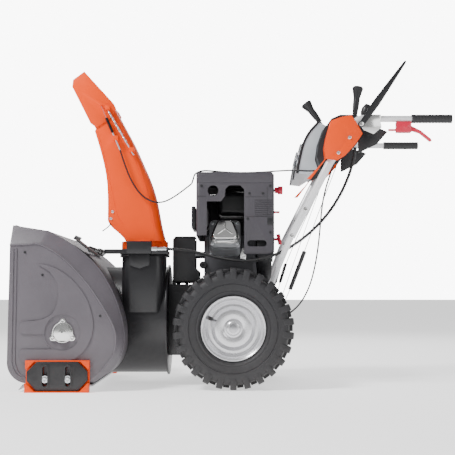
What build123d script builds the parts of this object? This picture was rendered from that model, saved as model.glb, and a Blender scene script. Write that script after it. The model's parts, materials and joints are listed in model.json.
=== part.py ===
from build123d import *
from math import cos, pi, radians, sin, sqrt, tan
import os

# Two-stage petrol snow blower, millimetres.  +X points to the operator's end, +Y to the
# machine's right-hand side, +Z up.  The origin is on the floor under the middle of the machine.

# ---- driving dimensions -------------------------------------------------------------------
HALF_LENGTH = 754.0            # housing mouth at -X, grip ends at +X
HOUSING_FACE_Y = 356.0         # flat face of each side plate
HOUSING_EDGE_Y = 316.0         # where the sloping shoulder meets the wrap sheet
SHEET = 3.0
AUGER_X, AUGER_Z = -570.0, 196.0
AUGER_R = 158.0
WORM_CENTRES = 34.0            # worm shaft above auger shaft
DRUM_Z = AUGER_Z + WORM_CENTRES
DRUM_R = 194.0
DRUM_REAR_X = -239.0
CHUTE_X, CHUTE_Y = -322.0, -98.0
CHUTE_HALF = 80.0
RING_Z = 462.0
DEFLECTOR_PIN = (-425.0, 989.0)
WHEEL_X, WHEEL_Z = -3.0, 206.0
WHEEL_R = 206.0
WHEEL_Y = 250.0
TYRE_WIDTH = 150.0
RIM_R = 109.0
AXLE_R = 9.5
CRANK_Z = 468.0
CYLINDER_TILT = 28.0
DISC_Z = 290.0
HEX_X = -34.5
HANDLE_Y = 280.0
BAR_Z = 928.0
RUN_GAP = 0.05                 # radial clearance of a shaft that turns in a bore
SKID_BOLT_X = (-623.0, -548.0)
SKID_BOLT_Z = 43.0
LUGS = 26

os.makedirs("parts", exist_ok=True)
made = {}


def save(name, *solids):
    """Write one node; several solids become a group."""
    flat = [s for item in solids for s in item.solids()]
    shape = flat[0] if len(flat) == 1 else Compound(children=flat)
    made[name] = shape
    export_step(shape, f"parts/{name}.step")


# ---- helpers ------------------------------------------------------------------------------
def block(x0, x1, y0, y1, z0, z1):
    return Pos((x0 + x1) / 2, (y0 + y1) / 2, (z0 + z1) / 2) * Box(x1 - x0, y1 - y0, z1 - z0)


def rod_x(x0, x1, y, z, r):
    return Pos((x0 + x1) / 2, y, z) * Rot(0, 90, 0) * Cylinder(r, x1 - x0)


def rod_y(y0, y1, x, z, r):
    return Pos(x, (y0 + y1) / 2, z) * Rot(90, 0, 0) * Cylinder(r, y1 - y0)


def rod_z(z0, z1, x, y, r):
    return Pos(x, y, (z0 + z1) / 2) * Cylinder(r, z1 - z0)


def rod(a, b, r):
    """Round bar between two points."""
    a, b = Vector(*a), Vector(*b)
    return Plane(origin=a, z_dir=b - a) * Pos(0, 0, (b - a).length / 2) * Cylinder(r, (b - a).length)


def slab(points, y0, y1):
    """Side-view polygon (x, z) given thickness along Y."""
    line = Polyline(*[(x, y0, z) for x, z in points], close=True)
    return extrude(make_face(line), amount=y1 - y0, dir=(0, 1, 0))


def mirrored(shape):
    return mirror(shape, about=Plane.XZ)


def both_sides(shape):
    return [shape, mirrored(shape)]


def hex_prism(shape_plane, across, height):
    return extrude(shape_plane * RegularPolygon(across / 2, 6, major_radius=False), amount=height)


def bolt_y(x, y, z, r, length, head, out):
    """Bolt along Y: shank from y inwards, hexagon head outwards (out is -1 or 1)."""
    shank = rod_y(min(y, y - out * length), max(y, y - out * length), x, z, r)
    face = Plane(origin=(x, y, z), z_dir=(0, out, 0))
    return shank + hex_prism(face, head * 2, head * 0.62)


def bent_tube(points, radius, bend, wall=None):
    """Tube on straight runs joined by tangent arcs; wall makes it hollow."""
    path = FilletPolyline(*points, radius=bend) if len(points) > 2 else Line(*points)
    start = Plane(origin=path @ 0, z_dir=path % 0)
    tube = sweep(start * Circle(radius), path=path)
    if wall:
        tube -= sweep(start * Circle(radius - wall), path=path)
    return tube


def cord(name, points, radius):
    """Cable on runs joined by arcs as large as both runs allow; prints its length and radii."""
    vecs = [Vector(*p) for p in points]
    bends = []
    for a, b, c in zip(vecs, vecs[1:], vecs[2:]):
        turn = radians((b - a).get_angle(c - b))
        bends.append(0.45 * min((b - a).length, (c - b).length) / tan(turn / 2))
    path = FilletPolyline(*points, radius=bends)
    tube = sweep(Plane(origin=path @ 0, z_dir=path % 0) * Circle(radius), path=path)
    ideal = pi * radius ** 2 * path.length
    print(f"{name}: length {path.length:.0f}, smallest radius {min(bends):.0f},"
          f" volume ratio {tube.volume / ideal:.3f}")
    return tube


def belt(centres, radii, x0, x1, inner, outer):
    """Closed loop round two wheels that lie in a plane across X; centres are (y, z)."""
    def loop(extra):
        arcs = [Plane(origin=(x0, y, z), x_dir=(0, 1, 0), z_dir=(1, 0, 0)) * Circle(r + extra)
                for (y, z), r in zip(centres, radii)]
        (ya, za), (yb, zb) = centres
        gap = sqrt((yb - ya) ** 2 + (zb - za) ** 2)
        lean = (radii[0] - radii[1]) / gap
        u = Vector(0, (yb - ya) / gap, (zb - za) / gap)
        v = Vector(0, -u.Z, u.Y)
        corners = []
        for side in (1, -1):
            n = u * lean + v * (side * sqrt(1 - lean ** 2))
            ends = [Vector(x0, y, z) + n * (r + extra) for (y, z), r in zip(centres, radii)]
            corners += ends if side == 1 else ends[::-1]
        middle = make_face(Polyline(*corners, close=True))
        faces = [extrude(f, amount=x1 - x0, dir=(1, 0, 0)) for f in arcs + [middle]]
        return faces[0] + faces[1] + faces[2]
    return loop(outer) - loop(inner)


# ---- auger housing ------------------------------------------------------------------------
def housing_outline(y, inset, shoulder):
    """Side-view outline; shoulder=1 gives the smaller flat face, 0 the wrap sheet's edge."""
    def mix(a, b):
        return (a[0] + (b[0] - a[0]) * shoulder, a[1] + (b[1] - a[1]) * shoulder)

    def at(point, dx, dz):
        return (point[0] + dx * inset, y, point[1] + dz * inset)

    low = at((-HALF_LENGTH, 95), 1, 0)
    front = at(mix((-751, 556), (-751, 487)), 1, -1)
    top = at(mix((-632, 537), (-650, 488)), 0, -1)
    back = [mix((-545, 487), (-575, 444)), mix((-462, 413), (-498, 366)), mix((-404, 315), (-432, 272)),
            mix((-372, 205), (-396, 196)), mix((-382, 118), (-402, 122))]
    pull = [(-0.5, -0.85), (-0.75, -0.65), (-0.9, -0.4), (-1, 0), (-0.95, 0.3)]
    rear = at(mix((-432, 52), (-444, 66)), -0.7, 0.7)
    floor_rear = at(mix((-472, 25), (-486, 31)), 0, 1)
    floor_front = at(mix((-690, 24), (-690, 28)), 0, 1)
    corner = at(mix((-735, 46), (-734, 49)), 0.7, 0.7)
    edges = [
        Line(low, front),
        Line(front, top),
        Spline(top, *[at(p, *d) for p, d in zip(back, pull)], rear),
        Line(rear, floor_rear),
        Line(floor_rear, floor_front),
        ThreePointArc(floor_front, corner, low),
    ]
    return make_face(edges)


def housing_body(inset):
    """Wrap between the shoulders, and a sloping shoulder down to each flat side face."""
    edge_y, face_y = HOUSING_EDGE_Y, HOUSING_FACE_Y - inset
    body = extrude(housing_outline(-edge_y, inset, 0), amount=2 * edge_y, dir=(0, 1, 0))
    shoulder = loft([housing_outline(-edge_y, inset, 0), housing_outline(-face_y, inset, 1)], ruled=True)
    return body + shoulder + mirrored(shoulder)


housing_solid = housing_body(0)
housing_space = housing_body(SHEET)
mouth_cut = block(-800, -694, -HOUSING_FACE_Y + SHEET, HOUSING_FACE_Y - SHEET, 28, 95)
drum_hole = rod_x(-540, -330, 0, DRUM_Z, DRUM_R - 4)
housing = housing_solid - housing_space - Pos(-40, 0, 0) * housing_space - mouth_cut - drum_hole
for side in (-1, 1):
    housing -= rod_y(min(side * 340, side * 370), max(side * 340, side * 370), AUGER_X, AUGER_Z, 30)
    for x in SKID_BOLT_X:
        housing -= rod_y(min(side * 340, side * 370), max(side * 340, side * 370), x, SKID_BOLT_Z, 5)
SCRAPER_BOLTS = [(-492, -301 + 86 * i) for i in range(8)]
for x, y in SCRAPER_BOLTS:
    housing -= rod_z(20, 40, x, y, 4)
save("auger_housing", housing)

scraper = block(-700, -470, -350, 350, 17.5, 23.5)
scraper += slab([(-716, 6), (-712, 6), (-694, 17.5), (-694, 23.5), (-702, 23.5)], -350, 350)
for x, y in SCRAPER_BOLTS:
    scraper -= rod_z(10, 30, x, y, 4)
save("scraper_blade", scraper)

# ---- impeller housing: drum, rear plate and the discharge neck ----------------------------------
NECK = (-397, -247, -197, 1)   # x0, x1, y0, y1
drum = rod_x(-520, DRUM_REAR_X - 3, 0, DRUM_Z, DRUM_R) - housing_solid
drum += rod_x(DRUM_REAR_X - 3, DRUM_REAR_X + 3, 0, DRUM_Z, DRUM_R + 8)
neck_shape = Pos((NECK[0] + NECK[1]) / 2, (NECK[2] + NECK[3]) / 2, 0) * RectangleRounded(
    NECK[1] - NECK[0], NECK[3] - NECK[2], 34)
neck_pocket = fillet(block(NECK[0], NECK[1], NECK[2], -100, 259, 330).edges().filter_by(Axis.Y), 30)
neck = Pos(0, 0, 259) * extrude(neck_shape, amount=RING_Z - 6 - 259)
neck = neck - rod_x(-420, -240, 0, DRUM_Z, DRUM_R - 4) - housing_solid
drum = drum + neck + (neck_pocket & neck) + rod_z(RING_Z - 6, RING_Z, CHUTE_X, CHUTE_Y, 90)
drum -= rod_x(-530, DRUM_REAR_X - 3, 0, DRUM_Z, DRUM_R - 4)
throat = Pos(0, 0, 262) * extrude(offset(neck_shape, amount=-3), amount=RING_Z - 12 - 262)
drum -= throat
drum -= rod_z(RING_Z - 30, RING_Z + 5, CHUTE_X, CHUTE_Y, 68)
drum -= rod_x(-260, -220, 0, DRUM_Z, 26)
save("impeller_housing", drum)

# ---- auger shaft, augers, gearbox, worm shaft, impeller ----------------------------------------
SHAFT_R = 9.5
WORM_WHEEL_R = 21.5
shaft = rod_y(-352, 352, AUGER_X, AUGER_Z, SHAFT_R)
wheel = rod_y(-9, 9, AUGER_X, AUGER_Z, WORM_WHEEL_R)
for i in range(20):
    turn = Pos(AUGER_X, 0, AUGER_Z) * Rot(0, 18 * i, 0)
    wheel -= turn * Pos(WORM_WHEEL_R, 0, 0) * Box(5, 30, 3)
save("auger_shaft", shaft + wheel)


def auger_half(side):
    """Ribbon screw on a tube, carried by spokes; side -1 winds the other way to side 1."""
    inner_y, outer_y = 62.0, 340.0
    run = outer_y - inner_y
    helix = Helix(pitch=230, height=run - 30, radius=AUGER_R - 22, center=(AUGER_X, inner_y + 15, AUGER_Z),
                  direction=(0, 1, 0))
    start = helix @ 0
    outward = (start - Vector(AUGER_X, start.Y, AUGER_Z)).normalized()
    section = Plane(origin=start, x_dir=outward, z_dir=helix % 0) * Rectangle(44, 4)
    half = sweep(section, path=helix, is_frenet=True)
    half += rod_y(inner_y, outer_y, AUGER_X, AUGER_Z, 17)
    for t in (0.06, 0.35, 0.65, 0.94):
        point = helix @ t
        centre = Vector(AUGER_X, point.Y, AUGER_Z)
        half += rod(tuple(centre), tuple(centre + (point - centre) * 0.98), 7)
    half -= rod_y(inner_y - 5, outer_y + 5, AUGER_X, AUGER_Z, SHAFT_R)
    return half if side > 0 else mirrored(half)


save("auger_flights", auger_half(-1), auger_half(1))

case = rod_y(-32, 32, AUGER_X, AUGER_Z, 34) + rod_x(-620, -500, 0, DRUM_Z, 24)
case += block(-596, -544, -24, 24, AUGER_Z, DRUM_Z + 4) + rod_y(-50, 50, AUGER_X, AUGER_Z, 20)
case -= rod_y(-12, 12, AUGER_X, AUGER_Z, 24) + rod_x(-608, -515, 0, DRUM_Z, 15)
case -= rod_y(-60, 60, AUGER_X, AUGER_Z, SHAFT_R + RUN_GAP) + rod_x(-520, -490, 0, DRUM_Z, SHAFT_R + RUN_GAP)
save("auger_gearbox", case)

worm_shaft = rod_x(-600, -192, 0, DRUM_Z, SHAFT_R)
for i in range(5):
    worm_shaft += rod_x(-588 + 8 * i, -584 + 8 * i, 0, DRUM_Z, 12)
worm_shaft += rod_x(DRUM_REAR_X - 6, DRUM_REAR_X - 4, 0, DRUM_Z, 14)
save("impeller_shaft", worm_shaft)

IMPELLER = (-440.0, -290.0)
impeller = rod_x(IMPELLER[0] + 20, IMPELLER[1] + 30, 0, DRUM_Z, 20)
impeller += rod_x(-300, -295, 0, DRUM_Z, 110)
for i in range(4):
    blade = Pos(0, 0, DRUM_Z) * Rot(90 * i + 30, 0, 0) * block(-400, -300, -2, 2, 15, 176)
    tip = Pos(0, 0, DRUM_Z) * Rot(90 * i + 30, 0, 0) * block(-400, -300, -2, 20, 172, 176)
    impeller += blade + tip
impeller -= rod_x(-450, -250, 0, DRUM_Z, SHAFT_R)
save("impeller", impeller)

# ---- flange bearings: auger ends and the rear of the drum -----------------------------------------
def auger_bearing(side):
    face = Plane(origin=(AUGER_X, side * HOUSING_FACE_Y, AUGER_Z), x_dir=(1, 0, 0), z_dir=(0, side, 0))
    angles = (90, 210, 330) if side < 0 else (270, 30, 150)
    ears = [Pos(38 * cos(radians(a)), 38 * sin(radians(a))) for a in angles]
    plate = make_hull([e for ear in ears for e in (ear * Circle(9)).edges()])
    body = extrude(face * plate, amount=4)
    body += extrude(face * Circle(27), amount=13)
    body -= extrude(face * Circle(20), amount=9)
    body += rod_y(min(side * 340, side * 356), max(side * 340, side * 356), AUGER_X, AUGER_Z, 29.5)
    body -= rod_y(min(side * 330, side * 365), max(side * 330, side * 365), AUGER_X, AUGER_Z, SHAFT_R + RUN_GAP)
    for ear in ears:
        body -= extrude(face * ear * Circle(4), amount=8)
    return body


drum_bearing = rod_x(DRUM_REAR_X - 2, DRUM_REAR_X + 12, 0, DRUM_Z, 26)
drum_bearing += rod_x(DRUM_REAR_X + 3, DRUM_REAR_X + 7, 0, DRUM_Z, 38)
drum_bearing -= rod_x(-260, -200, 0, DRUM_Z, SHAFT_R + RUN_GAP)
save("flange_bearings", auger_bearing(-1), auger_bearing(1), drum_bearing)

# ---- skid shoes ---------------------------------------------------------------------------
def skid(side):
    """Orange formed tray and the black wear pad on its outside, both with two upright slots."""
    tray = block(-689, -478, -360.5, -357, 0, 104)
    tray += block(-680, -486, -384, -357, 0, 3.5) + block(-680, -486, -374, -357, 100.5, 104)
    flare = slab([(-689, 0), (-655, 0), (-684, 30), (-689, 30)], -384, -360)
    flare += slab([(-689, 104), (-656, 104), (-684, 76), (-689, 76)], -374, -360)
    tray += flare + mirror(flare, about=Plane.YZ.offset(-583.5))
    pad = slab([(-683, 38), (-651, 5), (-516, 5), (-484, 38), (-484, 68), (-516, 99), (-651, 99), (-683, 68)],
               -376, -361)
    for x in SKID_BOLT_X:
        slot = block(x - 8, x + 8, -390, -340, 28, 78) + rod_y(-390, -340, x, 28, 8)
        slot += rod_y(-390, -340, x, 78, 8)
        rim = block(x - 14, x + 14, -379, -376, 28, 78) + rod_y(-379, -376, x, 28, 14) + rod_y(-379, -376, x, 78, 14)
        pad += rim
        pad -= slot
        tray -= slot
    return [shape if side < 0 else mirrored(shape) for shape in (tray, pad)]


for side, word in ((-1, "left"), (1, "right")):
    tray, pad = skid(side)
    save(f"skid_shoe_{word}", tray)
    save(f"skid_pad_{word}", pad)

# ---- chute ring, drive box, chute and deflector ------------------------------------------------
ring = rod_z(RING_Z + 0.4, RING_Z + 20, CHUTE_X, CHUTE_Y, 84)
teeth = [Pos(CHUTE_X, CHUTE_Y, RING_Z + 8) * Rot(0, 0, 9 * i) * Pos(86, 0, 0) * Box(8, 6, 12) for i in range(40)]
ring = ring + teeth - rod_z(RING_Z, RING_Z + 30, CHUTE_X, CHUTE_Y, 68)
ring += rod_z(RING_Z + 19, RING_Z + 22, CHUTE_X, CHUTE_Y, 84) - rod_z(RING_Z, RING_Z + 30, CHUTE_X, CHUTE_Y, 68)
save("chute_ring", ring)

BOX_Y = -190.0
drive = block(-375, -289, -226, BOX_Y, 463.5, 507) + block(-455, -230, -208, -198, 468, 480)
drive += slab([(-368, 463), (-297, 463), (-297, 424), (-332, 412), (-368, 424)], -202, -198)
drive -= block(-370, -294, -222, BOX_Y + 1, 482, 503)
drive += rod_y(-212, -193, -448, 474, 4) + block(-455, -230, -208, BOX_Y, 463.5, 468)
save("chute_drive_box", drive)


COLLAR_TOP = RING_Z + 48.0     # the chute's square foot stands above the drive box


def chute_outline(y, inset):
    """Side view of the chute: curved back, curved lower lip and the open front edge."""
    front_top = (-498 + inset, y, 905)
    lip = (-448 + inset * 0.6, y, 583 + inset * 0.5)
    base_front = (-384 + inset, y, COLLAR_TOP)
    base_rear = (-246 - inset, y, COLLAR_TOP)
    rear_top = (-434 - inset, y, 1003 - inset * 0.3)
    rear = [(-259, 556), (-278, 651), (-302, 732), (-330, 797), (-362, 867), (-401, 940)]
    edges = [
        Spline(front_top, (-471 + inset, y, 815), (-453 + inset, y, 727), (-449 + inset, y, 670), lip),
        Spline(lip, (-434 + inset, y, 561 + inset * 0.6), (-408 + inset, y, 538 + inset * 0.6), base_front),
        Line(base_front, base_rear),
        Spline(base_rear, *[(x - inset, y, z - inset * 0.3) for x, z in rear], rear_top),
        Line(rear_top, front_top),
    ]
    return make_face(edges)


def chute_body(inset):
    y0 = CHUTE_Y - CHUTE_HALF + inset
    body = extrude(chute_outline(y0, inset), amount=2 * (CHUTE_HALF - inset), dir=(0, 1, 0))
    back = [e for e in body.edges() if e.center().X > -380 and e.length > 300]
    return fillet(back, 34 - inset)


chute = chute_body(0)
hollow = chute_body(SHEET)
chute = chute - hollow
front_open = slab([(-560, 905), (-560, 590), (-452, 590), (-440, 596), (-440, 670), (-444, 727), (-462, 815),
                   (-488, 905)], CHUTE_Y - CHUTE_HALF + SHEET, CHUTE_Y + CHUTE_HALF - SHEET)
top_open = slab([(-560, 880), (-497, 902), (-434, 999), (-425, 1040), (-560, 1040)],
                CHUTE_Y - CHUTE_HALF + SHEET, CHUTE_Y + CHUTE_HALF - SHEET)
chute -= front_open + top_open
chute += rod_z(RING_Z + 22, COLLAR_TOP + 1, CHUTE_X, CHUTE_Y, 84)
chute -= rod_z(RING_Z + 15, COLLAR_TOP + 40, CHUTE_X, CHUTE_Y, 68)
pin_x, pin_z = DEFLECTOR_PIN
PIN_R = 4.0
for side in (-1, 1):
    y_in = CHUTE_Y + side * CHUTE_HALF
    chute -= rod_y(y_in - 8, y_in + 8, pin_x - 12, pin_z - 22, PIN_R)
# lug that steadies the lower end of the return spring, and the cable's abutment
chute += slab([(-372, 842), (-354, 842), (-354, 826), (-372, 826)], CHUTE_Y - CHUTE_HALF - 23, CHUTE_Y - CHUTE_HALF)
spring_y = CHUTE_Y - CHUTE_HALF - 16
spring_top = Vector(-449, spring_y, 975)
spring_way = Vector(85, 0, -147).normalized()
chute -= rod(tuple(spring_top + spring_way * 130), tuple(spring_top + spring_way * 190), 4.5)
chute += slab([(-430, 884), (-412, 884), (-412, 868), (-430, 868)], CHUTE_Y - CHUTE_HALF - 23, CHUTE_Y - CHUTE_HALF)
cable_pin = Vector(-473, spring_y, 991)
cable_way = Vector(69, 0, -159).normalized()
chute -= rod(tuple(cable_pin + cable_way * 100), tuple(cable_pin + cable_way * 160), 3.5)

DEFLECTOR_HALF = CHUTE_HALF + 4.0
deflector_side = [(-421, 985), (-445, 947), (-461, 937), (-492, 916), (-513, 932), (-580, 1064), (-577, 1090),
                  (-537, 1120), (-430, 1003)]
deflector = slab(deflector_side, CHUTE_Y - DEFLECTOR_HALF, CHUTE_Y + DEFLECTOR_HALF)
roof_cut = [(-445, 900), (-446, 1016), (-538.5, 1115.5), (-579, 1086), (-700, 1086), (-700, 880)]
deflector -= slab(roof_cut, CHUTE_Y - DEFLECTOR_HALF + 2.5, CHUTE_Y + DEFLECTOR_HALF - 2.5)
deflector -= slab([(-447, 880), (-447, 1016), (-405, 1012), (-405, 880)],
                  CHUTE_Y - DEFLECTOR_HALF + 2.5, CHUTE_Y + DEFLECTOR_HALF - 2.5)
HINGE_X, HINGE_Z = pin_x - 12, pin_z - 22
for side in (-1, 1):
    y_out = CHUTE_Y + side * DEFLECTOR_HALF
    deflector -= rod_y(y_out - 8, y_out + 8, HINGE_X, HINGE_Z, PIN_R + RUN_GAP)
lug_y = CHUTE_Y - DEFLECTOR_HALF
deflector += slab([(-458, 992), (-442, 992), (-442, 978), (-458, 978)], lug_y - 18, lug_y)
deflector += rod_y(lug_y - 16, lug_y, -474, 996, 3)
save("deflector", deflector)

pins = []
for side in (-1, 1):
    y_a, y_b = CHUTE_Y + side * (CHUTE_HALF - SHEET - 2), CHUTE_Y + side * (DEFLECTOR_HALF + 5)
    pin = rod_y(min(y_a, y_b), max(y_a, y_b), HINGE_X, HINGE_Z, PIN_R)
    y_head = CHUTE_Y + side * (DEFLECTOR_HALF + 0.4)
    pin += rod_y(min(y_head, y_b), max(y_head, y_b), HINGE_X, HINGE_Z, 7)
    pins.append(pin)
save("chute", chute, *pins)

save("deflector_spring", rod(tuple(spring_top), tuple(spring_top + spring_way * 138), 4.5),
     rod(tuple(spring_top + spring_way * 138.5), tuple(spring_top + spring_way * 186), 3))
cable_parts = [rod(tuple(cable_pin + cable_way * a), tuple(cable_pin + cable_way * b), r)
               for a, b, r in ((0, 46, 1), (46.4, 104, 6), (104.4, 172.6, 2.9))]
DEFLECTOR_CABLE = [(-404, spring_y, 832.2), (-386, spring_y - 1, 775), (-361, spring_y - 1, 717),
                   (-330, spring_y + 1, 672), (-291, spring_y + 4, 648), (-255, spring_y + 8, 646),
                   (-222, spring_y + 13, 661), (-187, spring_y + 20, 686), (-152, spring_y + 32, 716)]
cable_parts.append(cord("deflector cable, free run", DEFLECTOR_CABLE, 3))
save("deflector_cable", *cable_parts)

# ---- clean-out tool on the housing's shoulder --------------------------------------------------
TOOL_X, TOOL_Z = -505.0, 482.0
tool = Pos(TOOL_X, -264, TOOL_Z) * Rot(0, 38, 0) * Box(92, 106, 5)
tool += Pos(TOOL_X - 1, -264, TOOL_Z + 4) * Rot(0, 38, 0) * Pos(-44, 0, 2) * Box(6, 106, 14)
tool += rod_y(-212, 60, TOOL_X, TOOL_Z, 9)
tool += rod_y(20, 110, TOOL_X, TOOL_Z, 13)
save("cleanout_tool", tool)

# ---- wheels and the driven axle -------------------------------------------------------------
def revolve_wheel(profile):
    """Closed (across, radius) outline turned about the axle; across is measured along Y."""
    points = [(WHEEL_X + r, y, WHEEL_Z) for y, r in profile]
    face = make_face(Polyline(*points, close=True))
    return revolve(face, Axis((WHEEL_X, 0, WHEEL_Z), (0, 1, 0)), 360)


def rim(side):
    """Dished steel rim: flanges, well, disc and a hub tube; the outside is at -Y."""
    half = 62.0
    skin = [(-half, RIM_R), (-half + 3, RIM_R + 2), (-half + 9, 101), (-half + 24, 98), (-half + 40, 88),
            (half - 40, 88), (half - 24, 98), (half - 9, 101), (half - 3, RIM_R + 2), (half, RIM_R),
            (half, RIM_R - 4), (half - 11, 97), (half - 26, 94), (half - 42, 84), (-half + 44, 84),
            (-half + 40, 66), (-half + 30, 60), (-half + 28, 36), (-half + 36, 30), (-half + 36, 17),
            (half - 10, 17), (half - 10, AXLE_R + RUN_GAP), (-half + 22, AXLE_R + RUN_GAP), (-half + 22, 20),
            (-half + 24, 38), (-half + 26, 62), (-half + 36, 70), (-half + 38, 86), (-half + 26, 94),
            (-half + 11, 97), (-half, RIM_R - 4)]
    body = Pos(0, -WHEEL_Y, 0) * revolve_wheel(skin)
    valve = rod((WHEEL_X - 76, -WHEEL_Y - half + 34, WHEEL_Z + 33), (WHEEL_X - 74, -WHEEL_Y - half + 12, WHEEL_Z + 32), 5)
    body = body + valve
    return body if side < 0 else mirrored(body)


def tyre(side):
    """Carcass with two rows of square-shouldered lugs."""
    half = TYRE_WIDTH / 2
    carcass = [(-51.5, 102.5), (-57.5, 113), (-66, 119), (-half + 4, 140), (-half, 166), (-half + 8, 186), (-40, 192),
               (40, 192), (half - 8, 186), (half, 166), (half - 4, 140), (66, 119), (57.5, 113), (51.5, 102.5),
               (42, 100), (-42, 100)]
    body = Pos(0, -WHEEL_Y, 0) * revolve_wheel(carcass)
    lugs = []
    for i in range(LUGS):
        for row in (-1, 1):
            turn = 360 / LUGS * (i + (0.5 if row > 0 else 0))
            place = Pos(WHEEL_X, -WHEEL_Y, WHEEL_Z) * Rot(0, turn, 0)
            lugs.append(place * Pos(WHEEL_R - 12, row * 43, 0) * Box(26, 63, 22))
    body = body + lugs
    body &= Pos(0, -WHEEL_Y, 0) * rod_y(-half, half, WHEEL_X, WHEEL_Z, WHEEL_R)
    return body if side < 0 else mirrored(body)


for side, word in ((-1, "left"), (1, "right")):
    save(f"rim_{word}", rim(side))
    save(f"tyre_{word}", tyre(side))

CHAIN_Y = 95.0
AXLE_SPROCKET_R, HEX_SPROCKET_R = 50.0, 22.0


def sprocket(x, z, r, teeth_count):
    body = rod_y(CHAIN_Y - 3, CHAIN_Y + 3, x, z, r)
    for i in range(teeth_count):
        body -= Pos(x, CHAIN_Y, z) * Rot(0, 360 / teeth_count * i, 0) * Pos(r + 1, 0, 0) * Rot(90, 0, 0) * Cylinder(4, 8)
    return body


axle = rod_y(-WHEEL_Y - 44, WHEEL_Y + 44, WHEEL_X, WHEEL_Z, AXLE_R)
for side in (-1, 1):
    axle += rod_y(min(side * 297, side * 294), max(side * 297, side * 294), WHEEL_X, WHEEL_Z, 15)
axle += rod_y(CHAIN_Y - 14, CHAIN_Y + 14, WHEEL_X, WHEEL_Z, 17)
axle += sprocket(WHEEL_X, WHEEL_Z, AXLE_SPROCKET_R, 25)
save("drive_axle", axle)

# ---- friction drive inside the chassis ------------------------------------------------------------
DISC_X = -100.0
DISC_R = 62.0
FRICTION_WHEEL_R = 60.0
WHEEL_REST_Y = 24.0
disc = rod_x(DISC_X - 8, DISC_X, 0, DISC_Z, DISC_R) + rod_x(-192, DISC_X - 8, 0, DISC_Z, 9)
disc += rod_x(-185, -165, 0, DISC_Z, 60)
groove = revolve(make_face(Polyline((-182, 0, DISC_Z + 61), (-168, 0, DISC_Z + 61), (-171, 0, DISC_Z + 50),
                                    (-179, 0, DISC_Z + 50), close=True)), Axis((0, 0, DISC_Z), (1, 0, 0)), 360)
save("friction_disc", disc - groove)

hex_bar = Plane(origin=(HEX_X, -112, DISC_Z), x_dir=(1, 0, 0), z_dir=(0, 1, 0))
hex_shaft = extrude(hex_bar * RegularPolygon(8, 6, major_radius=False), amount=224)
for side in (-1, 1):
    hex_shaft += rod_y(min(side * 112, side * 128), max(side * 112, side * 128), HEX_X, DISC_Z, 7)
hex_shaft += sprocket(HEX_X, DISC_Z, HEX_SPROCKET_R, 11)
save("hex_shaft", hex_shaft)

fwheel = rod_y(WHEEL_REST_Y - 5, WHEEL_REST_Y + 5, HEX_X, DISC_Z, FRICTION_WHEEL_R)
fwheel += rod_y(WHEEL_REST_Y - 14, WHEEL_REST_Y + 14, HEX_X, DISC_Z, 20)
fwheel -= extrude(hex_bar * RegularPolygon(8.1, 6, major_radius=False), amount=224)
save("friction_wheel", fwheel)

# ---- chassis, pulleys, belts ----------------------------------------------------------------------
CHASSIS = (-234.0, 130.0, -132.0, 132.0, 106.0, 358.0)
x0, x1, y0, y1, z0, z1 = CHASSIS
frame_box = block(x0, x1, y0, y1, z0, z1) - block(x0 + 3, x1 - 3, y0 + 3, y1 - 3, z0 + 3, z1 - 4)
frame_box -= rod_x(x0 - 5, x0 + 10, 0, DRUM_Z, 60) + block(-215, -150, -80, 80, 340, 370)
frame_box += block(DISC_X - 50, DISC_X - 44, -40, 40, DISC_Z - 30, z1 - 3)
frame_box -= rod_x(DISC_X - 60, DISC_X - 40, 0, DISC_Z, 9 + RUN_GAP)
for side in (-1, 1):
    wall = (min(side * 120, side * 140), max(side * 120, side * 140))
    frame_box += rod_y(*wall, WHEEL_X, WHEEL_Z, 24)
    frame_box -= rod_y(wall[0] - 1, wall[1] + 1, WHEEL_X, WHEEL_Z, AXLE_R + RUN_GAP)
    frame_box += rod_y(min(side * 116, side * 131), max(side * 116, side * 131), HEX_X, DISC_Z, 14)
    frame_box -= rod_y(min(side * 100, side * 140), max(side * 100, side * 140), HEX_X, DISC_Z, 7 + RUN_GAP)
    bracket = block(96, 144, 131, 146.5, 300, 352) - rod_y(125, 150, 122, 339, 5)
    frame_box += bracket if side > 0 else mirrored(bracket)
save("chassis_frame", frame_box)


def pulley(x0, x1, z, r, bore, grooves):
    body = rod_x(x0, x1, 0, z, r) - rod_x(x0 - 1, x1 + 1, 0, z, bore)
    for centre in grooves:
        cut = make_face(Polyline((centre - 7, 0, z + r + 1), (centre + 7, 0, z + r + 1), (centre + 4, 0, z + r - 11),
                                 (centre - 4, 0, z + r - 11), close=True))
        body -= revolve(cut, Axis((0, 0, z), (1, 0, 0)), 360)
    return body


CRANK_PULLEY_R, IMPELLER_PULLEY_R = 38.0, 92.0
IMPELLER_BELT_X, TRACTION_BELT_X = -206.0, -175.0
save("impeller_pulley", pulley(-217, -195, DRUM_Z, IMPELLER_PULLEY_R, SHAFT_R, [IMPELLER_BELT_X]))
crank = pulley(-217, -164, CRANK_Z, CRANK_PULLEY_R, 0.5, [IMPELLER_BELT_X, TRACTION_BELT_X])
crank = crank + rod_x(-216.5, -60, 0, CRANK_Z, 12.5)
save("crankshaft", crank)


def drive_belt(x, low_z, low_r):
    return belt([(0, CRANK_Z), (0, low_z)], [CRANK_PULLEY_R, low_r], x - 4, x + 4, -9.5, -2.5)


chain = belt([(-WHEEL_X, WHEEL_Z), (-HEX_X, DISC_Z)], [AXLE_SPROCKET_R, HEX_SPROCKET_R], -2.5, 2.5, 0.6, 5)
chain = Pos(0, CHAIN_Y, 0) * Rot(0, 0, 90) * chain
save("belts_and_chain", drive_belt(IMPELLER_BELT_X, DRUM_Z, IMPELLER_PULLEY_R),
     drive_belt(TRACTION_BELT_X, DISC_Z, 60), chain)

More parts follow.
